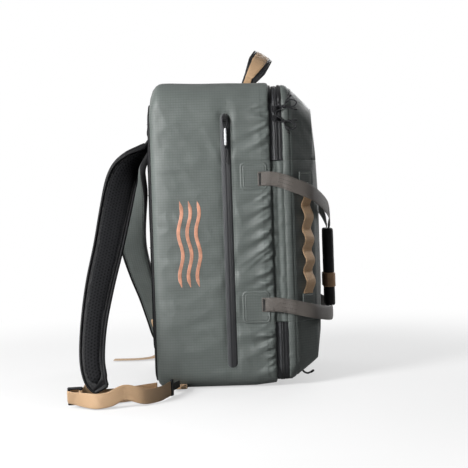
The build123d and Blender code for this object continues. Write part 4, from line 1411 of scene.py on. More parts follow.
for side, tag in SIDES:
    for name in HANDLE_PATHS:
        build_handle_webbing(side, tag, name)
    build_grip(side, tag)

# ------------------------------------------------------------------ daisy chains
DAISY_TACKS_Z = [354, 318, 276, 238, 201, 162]
# Tab name, bottom, top
DAISY_TABS = [("top", 355.0, 377.0), ("bottom", 140.0, 161.0)]
UP = np.array([0, 0, 1.0])


def build_daisy_chain(side, tag):
    """Looped webbing on the slanted front corner, with a fabric tab at each end."""
    across = unit(np.array([side * -34.0, -41.0, 0.0]))
    out = unit(np.array([side * 41.0, -34.0, 0.0]))
    centre = np.array([side * 143.6, -126.6, 0.0])
    t = np.arange(18) / 18
    loops = [a + (b - a) * t for a, b in zip(DAISY_TACKS_Z, DAISY_TACKS_Z[1:])]
    z = np.concatenate([[371.0, 365.0, 359.0], *loops, [162.0, 158.0, 152.0, 146.0]])
    rise = np.concatenate([np.zeros(3), np.tile(8.2 * np.sin(math.pi * t) ** 1.7, len(loops)),
                           np.zeros(4)])
    path = centre + out * (rise[:, None] + 1.15) + UP * z[:, None]
    ob = band_piece("daisy_chain_" + tag, path, across, 11.0, 1.6, "tan", flip=-side, cup=0.3)
    fit(ob, "pack", ["daisy_chains"] if side < 0 else [])
    lines = [(straight(centre + out * 2.15 + np.array([0, 0, z + offset]), across, 9.5), out)
             for z in DAISY_TACKS_Z for offset in (-0.8, 0.8)]
    sew("daisy_tacks_" + tag, lines, "thread_tan", DAISY_STITCH, "pack")
    for name, low, high in DAISY_TABS:
        a, b = lattice(np.linspace(-13.5, 13.5, 30), np.linspace(low, high, 26))
        dist = rounded_distance(a, b - (low + high) / 2, 13.5, (high - low) / 2, 3.0)
        height = (2.2 + 0.5 * smooth01(-dist / 1.2) - 0.35 * bell((dist + 2.6) / 0.6)
                  + 0.3 * bell(dist + 5.2))
        flat = centre + across * a[..., None] + UP * b[..., None]
        ob = slab(f"daisy_tab_{name}_{tag}", flat + out * height[..., None], flat - out * 0.6,
                  "patch")
        first = side < 0 and name == "top"
        fit(ob, "pack", ["daisy_chain_tabs"] if first else None)
        lines = [(straight(centre + out * 2.5 + UP * z, across, 11), out)
                 for z in (low + 2.6, high - 2.6)]
        sew(f"daisy_tab_stitches_{name}_{tag}", lines, "thread_pale", TAB_STITCH,
            "pack")


for side, tag in SIDES:
    build_daisy_chain(side, tag)

# ------------------------------------------------------------------ top grab handle
GRAB_Y = -31.0
GRAB_TOP_Z = 539.0


def build_grab_handle():
    """An arch of black webbing with a narrower tan band, leaning forward."""
    lean = math.radians(33.0)
    rise = np.array([0, -math.sin(lean), math.cos(lean)])
    lean_width = np.array([0, -math.cos(lean), -math.sin(lean)])
    feet = join([-84.0, -78.0, -73.0], GRAB_Y, GRAB_TOP_Z + np.array([0.9, 1.1, 2.2]))
    angle = math.pi * np.arange(1, 44) / 44
    x = -68.0 * np.sign(np.cos(angle)) * np.abs(np.cos(angle)) ** 0.75
    radius = 62.0 * np.sin(angle) ** 0.8
    hoop = np.array([0, GRAB_Y, 547.5]) + join(x, 0.0, 0.0) + rise * radius[:, None]
    path = catmull(np.vstack([feet, hoop, feet[::-1] * (-1, 1, 1)]), 3)
    arch_half = 7.5 + 11.5 * np.minimum(1.0, radius / 40.0)
    half = catmull(np.concatenate([[10.0] * 3, arch_half, [10.0] * 3]), 3).ravel()
    # the band lies flat on the top at its feet and leans once it has risen
    share = np.clip((path[:, 2] - 540) / 12, 0, 1)[:, None]
    width_dir = unit(lean_width * share + np.array([0, -1.0, 0]) * (1 - share))
    for name, part_half, off, thick, mat in (("black", half, 0.8, 1.7, "blackweb"),
                                             ("tan", half * 0.66, 2.25, 1.4, "tan")):
        ob = band_piece("grab_handle_" + name, path, width_dir, part_half, thick, mat,
                        off=off, flip=-1.0, cup=0.25, ripple=0.15, seed=9)
        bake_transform(ob)
        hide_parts("grab_webbing_" + name)


def build_grab_base(side, tag):
    a, b = lattice(np.linspace(-16, 16, 30), np.linspace(-14, 14, 26))
    dist = rounded_distance(a, b, 16, 14, 4.0)
    z = 538.9 + b * 0.03 + 0.6 * smooth01(-dist / 1.2) - 0.3 * bell((dist + 2.4) / 0.6)
    x, y = side * 72 + a, -32 + b
    ob = slab("grab_base_" + tag, join(x, y, z), join(x, y, 537.4), "blackweb")
    fit(ob, "pack", ["grab_handle_ends"] if side < 0 else None)
    bar_tack("grab_tack_" + tag, (side * 80, GRAB_Y, 541.6), along=(0, 1, 0),
             across=(1, 0, 0), normal=(0, 0, 1), length=14, width=4.0, rows=5,
             mat="thread_black", body="pack")


build_grab_handle()
for side, tag in SIDES:
    build_grab_base(side, tag)

# ------------------------------------------------------------------ cord pulls
SIDE_PULL_RISE = 5.2  # from the zip to the hanging cord
ZIP_PULL_RISE = 8.2


def pull_frame(origin, out, hang):
    """Places points given as (out from the zip, sideways, against the hang)."""
    out, back = unit(out), -unit(hang)
    sideways = np.cross(back, out)

    def place(points):
        points = np.asarray(points, float)
        return (np.array(origin, float) + points[..., 0:1] * out
                + points[..., 1:2] * sideways + points[..., 2:3] * back)

    return place


def cord(name, path, radius, body, mat="cord", sides=8, nodes=None):
    fit(tube_piece(name, path, radius, mat, sides), body, nodes)


def build_side_pull(side, tag):
    """Cord loop, ribbed metal-look tube, knot and tail hanging from a side slider."""
    name = "side_pull_" + tag
    rise = SIDE_PULL_RISE
    loop_end, tube_end, length = 18, 46, 77
    place = pull_frame((side * 166.2, SIDE_ZIP_Y, 474.0), (side, 0, 0), (0, 0, -1.0))
    loop = catmull([
        (rise, -1.2, -loop_end), (rise, -3.4, -loop_end * 0.55), (rise, -4.4, -2.0),
        (rise, -3.2, 0.7), (rise, 0, 1.1), (rise, 3.2, 0.7), (rise, 4.4, -2.0),
        (rise, 3.4, -loop_end * 0.55), (rise, 1.2, -loop_end)], 8)
    cord(name + "_cord", place(loop), 1.2, name, sides=10, nodes=[name])
    t = np.linspace(0, 1, 22)
    top = -loop_end + 2.0
    radius = 2.3 * (1 + 0.10 * np.cos(t * 2 * math.pi * 5))
    radius = radius * np.clip(np.minimum(t, 1 - t) * 12 + 0.55, 0, 1)
    cord(name + "_tube", place(join(rise, 0.0, top + t * (-tube_end - top))), radius, name,
         mat="silver", sides=14)
    t = np.linspace(0, 1, 40)
    turn = t * 4 * math.pi
    knot = join(rise + 1.5 * np.cos(turn), 1.7 * np.sin(turn), -tube_end - 0.6 - 4.2 * t)
    cord(name + "_knot", place(knot), round_ends(knot, 1.15), name)
    drop = length - tube_end
    tail = catmull([(rise, 0, -tube_end - 3.0), (rise, 0.9, -tube_end - drop * 0.4),
                    (rise, -0.8, -tube_end - drop * 0.75), (rise, 0.2, -length)], 10)
    cord(name + "_tail", place(tail), 1.15, name)
    tip = join(rise, 0.2, -length - np.linspace(-2.4, 1.2, 8))
    cord(name + "_tip", place(tip), round_ends(tip, 1.5), name, mat="rubber", sides=10)


# Name, side, height, upward angle of the hanging cord in degrees, way its loop bends
ZIP_PULLS = [
    ("upper_pull_a", -1, 489.0, 14, 1), ("upper_pull_b", -1, 473.0, -24, -1),
    ("lower_pull", 1, 96.0, -24, -1)]


def build_zip_pull(name, side, z, angle, bend):
    """Small loop through the slider, knot, large loop and two tipped ends."""
    angle = math.radians(angle)
    place = pull_frame((side * BAND_X, BAND_Y, z), (side, 0, 0),
                       (0, -math.cos(angle), math.sin(angle)))

    def curve(points, steps):
        """Smooth points whose first value is counted from the cord's rise."""
        return place(catmull(np.array(points) * (1, 1, 1) + (ZIP_PULL_RISE, 0, 0), steps))

    loop = curve([(0, -0.8, -14), (0, -3.6, -8), (0, -4.3, -2), (0, -3.0, 0.8), (0, 0, 1.3),
                  (0, 3.0, 0.8), (0, 4.3, -2), (0, 3.6, -8), (0, 0.8, -14)], 8)
    cord(name + "_cord", loop, 1.2, name, sides=10, nodes=[name])
    t = np.linspace(0, 1, 46)
    turn = t * 4.6 * math.pi
    knot = join(ZIP_PULL_RISE + 1.6 * np.cos(turn), 1.9 * np.sin(turn), -13.4 - 5.6 * t)
    cord(name + "_knot", place(knot), round_ends(knot, 1.25), name)
    big = curve([(0, 0.6, -17), (0.8, 5.0 * bend, -22), (1.2, 8.0 * bend, -30),
                 (1.0, 5.5 * bend, -37), (0.6, 0.6 * bend, -39.5), (0.4, -3.8 * bend, -35),
                 (0.2, -4.0 * bend, -27), (0, -1.2 * bend, -20), (0, -0.5, -17)], 8)
    cord(name + "_loop", big, 1.25, name, sides=10)
    ends = [[(0.4, 1.2 * bend, -18), (1.6, 9.0 * bend, -23), (1.0, 13.5 * bend, -30)],
            [(0.4, -1.0 * bend, -18), (1.8, -5.5 * bend, -25), (1.4, -9.5 * bend, -33)]]
    for k, points in enumerate(ends):
        tail = curve(points, 10)
        cord(f"{name}_end_{k}", tail, 1.1, name)
        direction = unit(tail[-1] - tail[-2])
        tip = tail[-1] + direction * np.linspace(-2.0, 5.5, 12)[:, None]
        cord(f"{name}_end_tip_{k}", tip, round_ends(tip, 1.9), name, mat="rubber", sides=12)


def build_lower_lid_cord():
    x = -104
    path = catmull([(x, -115.6, 25.5), (x, -114.6, 21.5), (x, -115.2, 17.4), (x, -119.0, 13.6),
                    (x, -125, 12.2), (x, -132.5, 15.6)], 8)
    cord("lower_lid_cord_tail", path, round_ends(path, 1.7), "lower_lid", sides=10,
         nodes=["lower_lid_loop"])
    tip = catmull([(x, -128.4, 13.3), (x, -130.4, 14.2), (x, -132.4, 15.4), (x, -134.4, 16.8),
                   (x, -135.6, 17.8)], 4)
    cord("lower_lid_cord_tip", tip, round_ends(tip, 2.1), "lower_lid", mat="rubber", sides=12)


for side, tag in SIDES:
    build_side_pull(side, tag)
for pull in ZIP_PULLS:
    build_zip_pull(*pull)
if "lower_lid_loop" in NODES:  # the frame may come without this node
    build_lower_lid_cord()

# ------------------------------------------------------------------ back panel and pads
BACK_PAD_X = 66


def rounded_pad(name, rim, face, mat, crown, seed):
    """A soft pad from a rim section to a crowned face section, each (y, loop sizes)."""
    rim_y, face_y = rim[0], face[0]
    outer, _ = round_rect(*rim[1:], PAD_COUNTS)
    inner, _ = round_rect(*face[1:], PAD_COUNTS)
    middle = inner.mean(0)
    loops = [outer]
    depths = [np.full(len(outer), rim_y)]

    def add_ring(loop, y):
        loops.append(loop)
        depths.append(y + 0.35 * noise2(loop[:, 0] / 21.0, loop[:, 1] / 18.0, seed))

    for t in (0.15, 0.4, 0.7, 0.9, 1.0):
        angle = t * math.pi / 2
        add_ring(outer + (inner - outer) * (1 - math.cos(angle)),
                 rim_y + (face_y - rim_y) * math.sin(angle))
    for share in np.linspace(0.97, 0.02, 24):
        add_ring(middle + (inner - middle) * share, face_y + crown * (1 - share**4))
    loops = np.array(loops)
    return skin(name, join(loops[..., 0], np.array(depths), loops[..., 1]), mat, loops)


def build_back_pad(side, tag):
    ob = rounded_pad("back_pad_" + tag, (149.0, 51.5, 62.5, 435.5, 20, 20),
                     (153.6, 47.0, 67.0, 431.0, 17, 17), "airmesh", crown=0.6, seed=103 + side)
    ob.data.transform(Matrix.Translation((side * BACK_PAD_X * MM, 0, 0)))
    rim = (coords(ob)[:, 1] < 0.1500).astype(float)
    puff(ob, pressure=3.0, frames=8, cap=2.4, pin=rim, bending=0.6)
    fit(ob, "pack", ["back_pads"] if side < 0 else None)
    loop, _ = round_rect(52.2, 61.8, 436.2, 20.4, 20.4, PAD_COUNTS)
    path = join(loop[:, 0] + side * BACK_PAD_X, 150.1, loop[:, 1])
    binding = tube_piece("back_pad_binding_" + tag, path, 1.5, "binding", sides=8, closed=True)
    fit(binding, "pack")
    for k in range(3):
        x = np.linspace(-43, 43, 30)
        line = join(side * BACK_PAD_X + x, 154.9, 155 + k * 95 + 3 * np.sin(x / 14))
        sew(f"back_pad_stitches_{tag}_{k}", [(line, (0, 1.0, 0))], "thread_black", PAD_STITCH,
            "pack")


panel = rounded_pad("back_panel_fabric", (145.1, 152.4, 14.6, 502.6, 38, 28),
                    (149.4, 149.0, 19.0, 493.0, 36, 26), "backmesh", crown=0.2, seed=101)
fit(panel, "pack", ["back_panel"])
for side, tag in SIDES:
    build_back_pad(side, tag)

# ------------------------------------------------------------------ shoulder straps
# Middle line from the top root to the lower tip, and the width direction at each point
STRAP_PATHS = {
    -1: [(-69, 151.4, 446), (-69.5, 161, 430), (-84, 186, 404), (-103, 202, 372),
         (-136, 212, 318), (-172, 222, 258), (-212, 235, 192), (-249, 243, 130),
         (-278, 244, 78), (-290, 238, 46), (-294, 229, 29)],
    1: [(69, 151.4, 446), (69.5, 161, 430), (90, 182, 396), (112, 197, 350), (140, 207, 292),
        (170, 208, 236), (204, 198, 180), (234, 184, 126), (254, 172, 78), (262, 164, 46),
        (264, 158, 30)],
}
STRAP_WIDTHS = {
    -1: [(1, 0, 0), (1, -0.1, 0), (0.85, -0.5, -0.1), (0.45, -0.85, -0.2), (0.1, -0.96, -0.2),
         (0, -0.97, -0.2), (0, -0.97, -0.2), (0, -0.99, -0.1), (0, -1, 0), (0, -0.95, 0.3),
         (0, -0.8, 0.6)],
    1: [(-1, 0, 0), (-1, -0.1, 0), (-0.9, -0.4, 0.1), (-0.6, -0.8, 0.1), (-0.2, -0.97, 0.1),
        (0, -1, 0.05), (0, -0.97, -0.2), (0, -0.95, -0.3), (0, -0.95, -0.25), (0, -0.97, -0.2),
        (0, -1, 0)],
}
STRAP_HALVES = [27, 28, 30, 31, 30, 28, 26, 23, 21.5, 20, 14]
STRAP_LOW, STRAP_HIGH = -4.9, 4.2  # the pad's faces under and over the middle line
ROOT_X = 69


class Strap:
    """Stations along one shoulder strap. The normal points to its mesh face."""

    def __init__(self, side, tag):
        self.side, self.tag, self.body = side, tag, "strap_" + tag
        self.path = catmull(STRAP_PATHS[side], 14)
        self.across, normal = frames_of(self.path, catmull(STRAP_WIDTHS[side], 14))
        self.normal = normal * -side
        self.half = catmull(STRAP_HALVES, 14).ravel() * 0.9
        self.dist = run_length(self.path)
        start, end = (self.dist + 6) / 34.0, (self.dist[-1] - self.dist + 9) / 26.0
        self.taper = np.clip(np.minimum(start, end), 0.15, 1.0)


def build_strap_pad(strap):
    """Closed pad with a fabric cover below and a dark border above."""
    dist = strap.dist[:, None]
    angle = np.linspace(0, 2 * math.pi, 44, endpoint=False)
    cos, sin = np.cos(angle), np.sin(angle)
    x = np.sign(cos) * np.abs(cos) ** 0.55
    y = np.sign(sin) * np.abs(sin) ** 0.75
    wrinkles = (0.45 * noise2(dist / 15.0, angle * 2.0, 111 + strap.side)
                + 0.3 * noise2(dist / 6.0, angle * 3.0, 113 + strap.side))
    sideways = strap.half[:, None] * x
    height = (STRAP_LOW + STRAP_HIGH) / 2 + (STRAP_HIGH - STRAP_LOW) / 2 * y
    height = height * strap.taper[:, None] + wrinkles * np.abs(y)
    border = np.where((y < 0.18) & (np.roll(y, -1) < 0.18), 0, 1)
    face_mats = [*np.tile(border, len(strap.path) - 1), 1, 1]
    rings = sweep(strap.path, strap.across, strap.normal, sideways, height)
    ob = skin("strap_pad_" + strap.tag, rings, ("strap", "binding"), join(sideways, dist),
              face_mats=face_mats)
    puff(ob, pressure=2.5, frames=8, cap=1.4, bending=1.2)
    fit(ob, strap.body, ["strap_cover_" + strap.tag, "strap_foam_" + strap.tag])


def build_strap_mesh(strap):
    """Raised air mesh panel on the pad."""
    span = slice(9, len(strap.path) - 8)
    dist = strap.dist[span]
    ends = np.minimum(dist - dist[0], dist[-1] - dist)
    rounding = np.sqrt(np.clip(1 - (1 - np.clip(ends / 16.0, 0, 1)) ** 2, 0.04, 1))
    x = np.sin(np.linspace(-math.pi / 2, math.pi / 2, 21))
    rise = 3.0 * (1 - np.abs(x) ** 3.2) * np.clip(ends / 9.0, 0.1, 1)[:, None]
    rise = rise + 0.3 * noise2(dist[:, None] / 11.0, x * 2, 117)
    bottom = STRAP_HIGH * strap.taper[span][:, None] - 0.4
    sideways = ((strap.half[span] - 7.2) * rounding)[:, None] * x
    frame = strap.path[span], strap.across[span], strap.normal[span], sideways
    ob = slab("strap_mesh_panel_" + strap.tag, sweep(*frame, bottom + 0.8 + rise),
              sweep(*frame, bottom), "airmesh", join(sideways, dist[:, None]))
    fit(ob, strap.body, ["strap_mesh_" + strap.tag])


def build_strap_edges(strap):
    """Folded tape over each edge with its seams, and a tape across the lower tip."""
    path, across, normal, taper = strap.path, strap.across, strap.normal, strap.taper
    angle = np.linspace(0, 2 * math.pi, 14, endpoint=False)
    for edge, letter in ((-1, "a"), (1, "b")):
        centre = (path + across * (strap.half * edge)[:, None] * 0.985
                  + normal * (0.2 * taper)[:, None])
        rings = sweep(centre, across, normal, np.cos(angle) * 2.4 * edge,
                      np.sin(angle) * (5.6 * taper + 0.4)[:, None])
        ob = skin(f"strap_binding_{strap.tag}_{letter}", rings, "binding",
                  join(angle * 4, strap.dist[:, None]))
        fit(ob, strap.body)
        over = (path + across * ((strap.half - 5.6) * edge)[:, None]
                + normal * (STRAP_HIGH * taper + 0.25)[:, None])
        under = (path + across * ((strap.half - 5.0) * edge)[:, None]
                 + normal * ((STRAP_LOW - 0.3) * taper)[:, None])
        lines = [(over[6:-6], normal[6:-6]), (under[6:-6], -normal[6:-6])]
        sew(f"strap_stitches_{strap.tag}_{letter}", lines, "thread_black", STRAP_STITCH,
            strap.body)
    tip = path[-1] + unit(path[-1] - path[-3]) * 0.4
    line = straight(tip, across[-1], 13.5)
    ob = tube_piece("strap_tip_binding_" + strap.tag, line, round_ends(line, 3.4), "binding")
    fit(ob, strap.body)
    i = len(path) - 16
    bar_tack("strap_tack_" + strap.tag, path[i] + normal[i] * (STRAP_HIGH + 0.7),
             along=across[i], across=path[i + 1] - path[i], normal=normal[i], length=20,
             width=4.0, rows=5, mat="thread_black", body=strap.body)


def build_strap_root(strap):
    """Black flap from the back panel onto the strap, bending at the joint."""
    side = strap.side
    x = side * ROOT_X
    joint = slice(0, 30, 5)
    on_strap = strap.path[joint] + strap.normal[joint] * (-5.6 * strap.taper[joint])[:, None]
    path = catmull([(x, 151.4, 480), (x, 152.2, 467), (x, 153.6, 456), *on_strap], 5)
    width_dir = catmull([(-side, 0, 0)] * 3 + [*strap.across[joint]], 5)
    half = catmull([34.0, 33.0, 31.0, *(strap.half[joint] - 1.5)], 5)
    ob = band_piece("strap_root_" + strap.tag, path, width_dir, half, 2.6, "blackweb",
                    cup=0.5, flip=side)
    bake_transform(ob)
    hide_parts(*(["strap_yoke"] if side < 0 else []))
    lines = [(straight((x, y, z), np.array([1.0, 0, 0]), 30, 20), (0, 1.0, 0))
             for y, z in ((153.4, 473.0), (153.5, 464.0))]
    sew("strap_root_stitches_" + strap.tag, lines, "thread_pale", ROOT_STITCH,
        "pack")


STRAPS = {}
for side, tag in SIDES:
    STRAPS[side] = Strap(side, tag)
    for build in (build_strap_pad, build_strap_mesh, build_strap_edges, build_strap_root):
        build(STRAPS[side])

# ------------------------------------------------------------------ lower webbing
LOCK_BAR = 9.5  # from the middle of a ladder lock to each of its webbing bars


def webbing_run(name, points, widths, body, half=12.4, ripple=0.3, nodes=None):
    """Tan webbing through the points, slightly narrower at its start. Returns its path."""
    path = catmull(points, 8)
    halves = np.full(len(path), half)
    halves[:3] -= np.array([1.2, 0.5, 0.1])
    ob = band_piece(name, path, catmull(widths, 8), halves, 1.6, "tan",
                    cup=0.2, ripple=ripple, seed=3)
    fit(ob, body, nodes)
    return path


def turn_ring(name, centre, bar, body):
    """Webbing wrapped round a bar."""
    angle = np.linspace(0, 2 * math.pi, 26)[:, None]
    first = unit(np.cross(bar, [0.3, 0.5, 0.8]))
    path = centre + 3.35 * (np.cos(angle) * first + np.sin(angle) * np.cross(bar, first))
    fit(band_piece(name, path, bar, 12.3, 1.5, "tan"), body)


def build_left_webbing():
    lock = np.array([-298.0, 271.0, 19.5])
    along = unit((-0.1, 1.0, 0.0))
    bar = np.array([-0.42, 0, 0.9])
    bar = unit(bar - along * (bar @ along))
    strap_bar, web_bar = lock - along * LOCK_BAR, lock + along * LOCK_BAR
    out = unit(np.cross(along, bar))
    up = (0, 0, 1)
    webbing_run(
        "lower_web_left",
        [web_bar - out * 3.3, lock - out * 7.5, (-311.5, 256, 15.0), (-319, 234, 13.4),
         (-316, 212, 16), (-308, 188, 25), (-297, 158, 15), (-270, 135, 13.2),
         (-240, 124, 13.2), (-224, 118.6, 13.8)],
        [bar, bar, (-0.2, 0, 0.95)] + [up] * 7, "web_left", nodes=["lower_webbing_left"])
    tail = webbing_run(
        "lower_web_tail_left",
        [web_bar + out * 3.3, lock + out * 7.5, (-282.5, 254, 15.5), (-276, 234, 13.4),
         (-271, 205, 13.2), (-256, 178, 13.2), (-240, 156, 13.2), (-229, 141, 13.2)],
        [bar, bar, (-0.25, 0, 0.95)] + [up] * 5, "web_left")
    turn_ring("lower_web_turn_left", web_bar, bar, "web_left")
    turn_ring("strap_tab_turn_left", strap_bar, bar, "strap_left")
    # folded and stitched end of the tail
    normal = unit(np.cross(tail[-1] - tail[-5], UP))
    fold = band_piece("lower_web_tail_fold_left", tail[-9:] - normal * 1.7, UP, 12.0, 1.5, "tan")
    fit(fold, "web_left")
    for k, offset in enumerate((-2.6, 0.95)):
        line = straight(tail[-6] + normal * offset, UP, 9.5)
        sew(f"lower_web_tail_stitches_{k}", [(line, normal * np.sign(offset))], "thread_tan",
            TAIL_STITCH, "web_left")
    webbing_run(
        "strap_tab_left",
        [(-287.5, 231, 39), (-288.0, 243, 33), (-289.5, 252, 25), strap_bar + out * 3.2],
        [(0.2, 0.25, 0.94), (0.1, 0.1, 0.98), (-0.2, 0, 0.95), bar], "strap_left", half=11.8)


def build_right_webbing(strap):
    lock = np.array([240.0, 156.0, 7.0])
    along = np.array([-1.0, 0.0, 0.0])
    bar = np.array([0.0, 1.0, 0.0])
    strap_bar, web_bar = lock - along * LOCK_BAR, lock + along * LOCK_BAR
    webbing_run(
        "lower_web_right",
        [web_bar - UP * 3.2, (223, 155, 2.6), (217, 149, 1.9), (211, 140.5, 1.9)],
        [bar, bar, (-0.5, 0.8, 0), (-0.7, 0.7, 0)], "web_right", ripple=0,
        nodes=["lower_webbing_right"])
    webbing_run(
        "lower_web_tail_right",
        [web_bar + UP * 3.2, (221, 157, 11.5), (210, 164, 8), (202, 182, 3.5),
         (199, 212, 1.7), (203, 259, 1.4)],
        [bar, bar, (0.5, 0.8, 0), (0.9, 0.3, 0), (1, 0, 0), (1, -0.1, 0)], "web_right",
        ripple=0)
    turn_ring("lower_web_turn_right", web_bar, bar, "web_right")
    turn_ring("strap_tab_turn_right", strap_bar, bar, "strap_right")
    # the tab starts under the strap
    stations = [len(strap.path) - back for back in (30, 20, 10)]
    under = [strap.path[i] - strap.normal[i] * drop for i, drop in zip(stations, (5.6, 5.6, 5.0))]
    webbing_run(
        "strap_tab_right", under + [(258, 157, 15), strap_bar + np.array([1.0, 0, 3.3])],
        [*strap.across[stations], -bar, -bar], "strap_right", half=11.8, ripple=0)


# Anchor loop at the bottom of each side: x, z
ANCHOR_LOOP = [(150, 3.8), (166, 3.8), (175, 3.8), (179.6, 4.4), (181.0, 6.0), (179.6, 7.6),
               (175, 8.2), (166, 8.2), (158, 8.2)]
ANCHOR_Y = 104.5


def build_anchor_loop(side, tag):
    path = catmull([(side * x, ANCHOR_Y, z) for x, z in ANCHOR_LOOP], 5)
    ob = band_piece("anchor_loop_" + tag, path, (0, 1.0, 0), 12.4, 1.5, "tan")
    fit(ob, "pack", ["lower_anchor_loops"] if side < 0 else None)
    bar_tack("anchor_tack_" + tag, (side * 171, ANCHOR_Y, 9.2), along=(0, 1, 0),
             across=(1, 0, 0), normal=(0, 0, 1), length=20, width=3.0, rows=4,
             mat="thread_tan", body="pack")


build_left_webbing()
build_right_webbing(STRAPS[1])
for side, tag in SIDES:
    build_anchor_loop(side, tag)


# ------------------------------------------------------------------ inside
def build_lining():
    """Loose lining of the main compartment, open at the front."""
    rings = []
    for y in np.concatenate([[-60.0], np.linspace(-57, 130, 40), [133, 135.0, 136.0]]):
        top = np.interp(y, [-60, 136], [526, 500])
        inset = max(y - 134, 0) * 2
        loop, out = round_rect(155.6 - inset, 13.4 + inset, top - inset, 34, 24)
        dist = loop_length(loop)
        lift = (-0.8 + 0.8 * noise2(dist / 33.0, y / 24.0, 131)
                + 0.4 * noise2(dist / 11.0, y / 10.0, 133))
        rings.append(ring_at(loop, out, lift, y))
    rings += cap_rings(rings[-1], [*np.linspace(0.92, 0.04, 14), 0.001], y=135.6,
                       amp=0.4, cells=(30.0, 30.0), seed=135)
    rings = np.array(rings)
    faces = [f[::-1] for f in grid_faces(*rings.shape[:2], False, True)]
    ob = solidify(face_out(make("inner_lining_fabric", rings, faces, "lining")), 0.7)
    fit(ob, "pack", ["inner_lining"])


def build_shelf():
    """Padded shelf across the lower part of the compartment."""
    half, front, rear, middle = 154.4, -58, 134, 117
    x, y = lattice(np.linspace(-half, half, 70), np.linspace(front, rear, 46))
    edge = np.minimum(half - np.abs(x), np.minimum(y - front, rear - y))
    height = 3.0 * (1 - np.exp(-edge / 2.2)) + 0.35 * noise2(x / 30.0, y / 30.0, 141)
    ob = slab("compartment_shelf_pad", join(x, y, middle + height), join(x, y, middle - height),
              "foam")
    fit(ob, "pack", ["compartment_shelf"])


build_lining()
build_shelf()

# ------------------------------------------------------------------ CAD nodes that keep their shape
KEPT_NODES = {
    "metal": ["side_slider_left", "side_slider_right", "upper_slider_a", "upper_slider_b",
              "lower_slider"],
    "plastic": ["ladder_lock_left", "ladder_lock_right", "strap_hook_left", "strap_hook_right"],
    "board": ["frame_sheet", "base_board"],
    "foam": ["side_foam_boards"],
    "lining": ["pocket_bags"],
}
for mat, names in KEPT_NODES.items():
    for name in names:
        ob = NODES[name]
        ob.data.materials.clear()
        ob.data.materials.append(MATERIALS[mat])
        if mat in ("metal", "plastic"):
            bevel = ob.modifiers.new("edge", "BEVEL")
            bevel.width = 0.0004
            bevel.segments = 2
            bevel.limit_method = "ANGLE"
            bevel.angle_limit = math.radians(40)


# ------------------------------------------------------------------ studio, in metres
def floor_material():
    """Light grey near the pack, fading to plain white for the camera."""
    m = Material("floor", rough=0.9, spec=0.1)
    x, y, _ = m.split(m.places["Object"])
    radius = m.math("SQRT", m.add(m.mul(x, x), m.mul(y, y)))
    camera_ray = m.node("LightPath").outputs["Is Camera Ray"]
    fade = m.mul(m.step(radius, low=0.45, high=1.15), camera_ray)
    mottle = m.noise(m.scaled(m.places["Object"], 1.0), size=0.9, detail=3.0)
    seen = m.mix(mottle, (0.86, 0.86, 0.86), (0.90, 0.90, 0.90))
    m.set("Base Color", m.mix(camera_ray, (0.30, 0.30, 0.30), seen))
    white = m.node("Emission", {0: (1, 1, 1)})
    glow = m.node("Emission", {0: (1, 1, 1), 1: 0.86})
    near = m.node("MixShader", {0: m.mul(camera_ray, 0.62), 1: m.shader.outputs[0],
                                2: glow.outputs[0]})
    whole = m.node("MixShader", {0: fade, 1: near.outputs[0], 2: white.outputs[0]})
    m.tree.links.new(whole.outputs[0], m.output.inputs[0])
    return m.data


def build_floor():
    half, z = 14.0, -0.0012
    material = floor_material()
    mesh = bpy.data.meshes.new("floor")
    corners = [(-half, -half, z), (half, -half, z), (half, half, z), (-half, half, z)]
    mesh.from_pydata(corners, [], [[0, 1, 2, 3]])
    mesh.materials.append(material)
    floor = bpy.data.objects.new("floor", mesh)
    SCENE.collection.objects.link(floor)


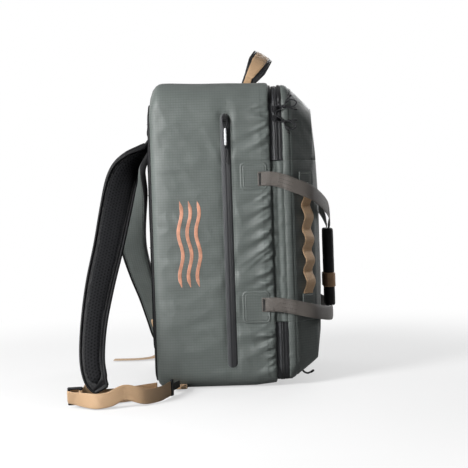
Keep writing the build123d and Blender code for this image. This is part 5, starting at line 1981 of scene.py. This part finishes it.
def build_world():
    """Dim cool light on the pack, plain white for the camera."""
    world = bpy.data.worlds.new("studio")
    SCENE.world = world
    world.use_nodes = True
    tree = world.node_tree
    tree.nodes.clear()
    camera_ray = add_node(tree, "LightPath").outputs["Is Camera Ray"]
    ambient = add_node(tree, "Background", {0: (0.94, 0.96, 1.0), 1: 0.10})
    backdrop = add_node(tree, "Background", {0: (1, 1, 1), 1: 1.0})
    mix = add_node(tree, "MixShader", {0: camera_ray, 1: ambient.outputs[0],
                                       2: backdrop.outputs[0]})
    add_node(tree, "OutputWorld", {0: mix.outputs[0]})


def area(name, at, target, size, power):
    light = bpy.data.lights.new(name, "AREA")
    light.shape = "DISK"
    light.size = size
    light.energy = power
    ob = bpy.data.objects.new(name, light)
    ob.location = at
    ob.rotation_mode = "QUATERNION"
    ob.rotation_quaternion = (Vector(target) - Vector(at)).to_track_quat("-Z", "Y")
    ob.visible_camera = False
    SCENE.collection.objects.link(ob)


def build_camera():
    """Looks at the left side along +X, rolled slightly."""
    data = bpy.data.cameras.new("camera")
    data.sensor_width = 36.0
    data.lens = 87.35
    data.shift_x = 0.0053
    data.shift_y = -0.1075
    data.clip_start = 0.05
    data.clip_end = 60.0
    camera = bpy.data.objects.new("camera", data)
    roll = math.radians(1.9)
    right = (0, -math.cos(roll), -math.sin(roll))
    up = (0, -math.sin(roll), math.cos(roll))
    back = (-1, 0, 0)
    location = (-2.165, 0.003, 0.36)
    camera.matrix_world = Matrix([*zip(right, up, back, location), (0, 0, 0, 1)])
    SCENE.collection.objects.link(camera)
    SCENE.camera = camera


build_floor()
build_world()
area("key", at=(-1.55, 1.75, 1.15), target=(0, 0, 0.30), size=0.9, power=66)
area("near_key", at=(-0.85, 0.62, 0.52), target=(-0.16, 0.03, 0.30), size=0.34, power=6.5)
area("fill", at=(-2.0, -1.9, 0.9), target=(0, 0, 0.28), size=1.6, power=1.6)
area("top", at=(0.3, -0.2, 2.4), target=(0, 0, 0.3), size=1.4, power=5)
area("far_side", at=(2.3, -0.9, 1.3), target=(0, 0, 0.28), size=1.7, power=40)
area("rear", at=(1.7, 2.0, 1.5), target=(0, 0, 0.28), size=1.8, power=14)
area("front", at=(1.35, -2.4, 1.0), target=(0, 0, 0.28), size=1.6, power=30)
SCENE.view_settings.view_transform = "Standard"
SCENE.view_settings.look = "None"
build_camera()
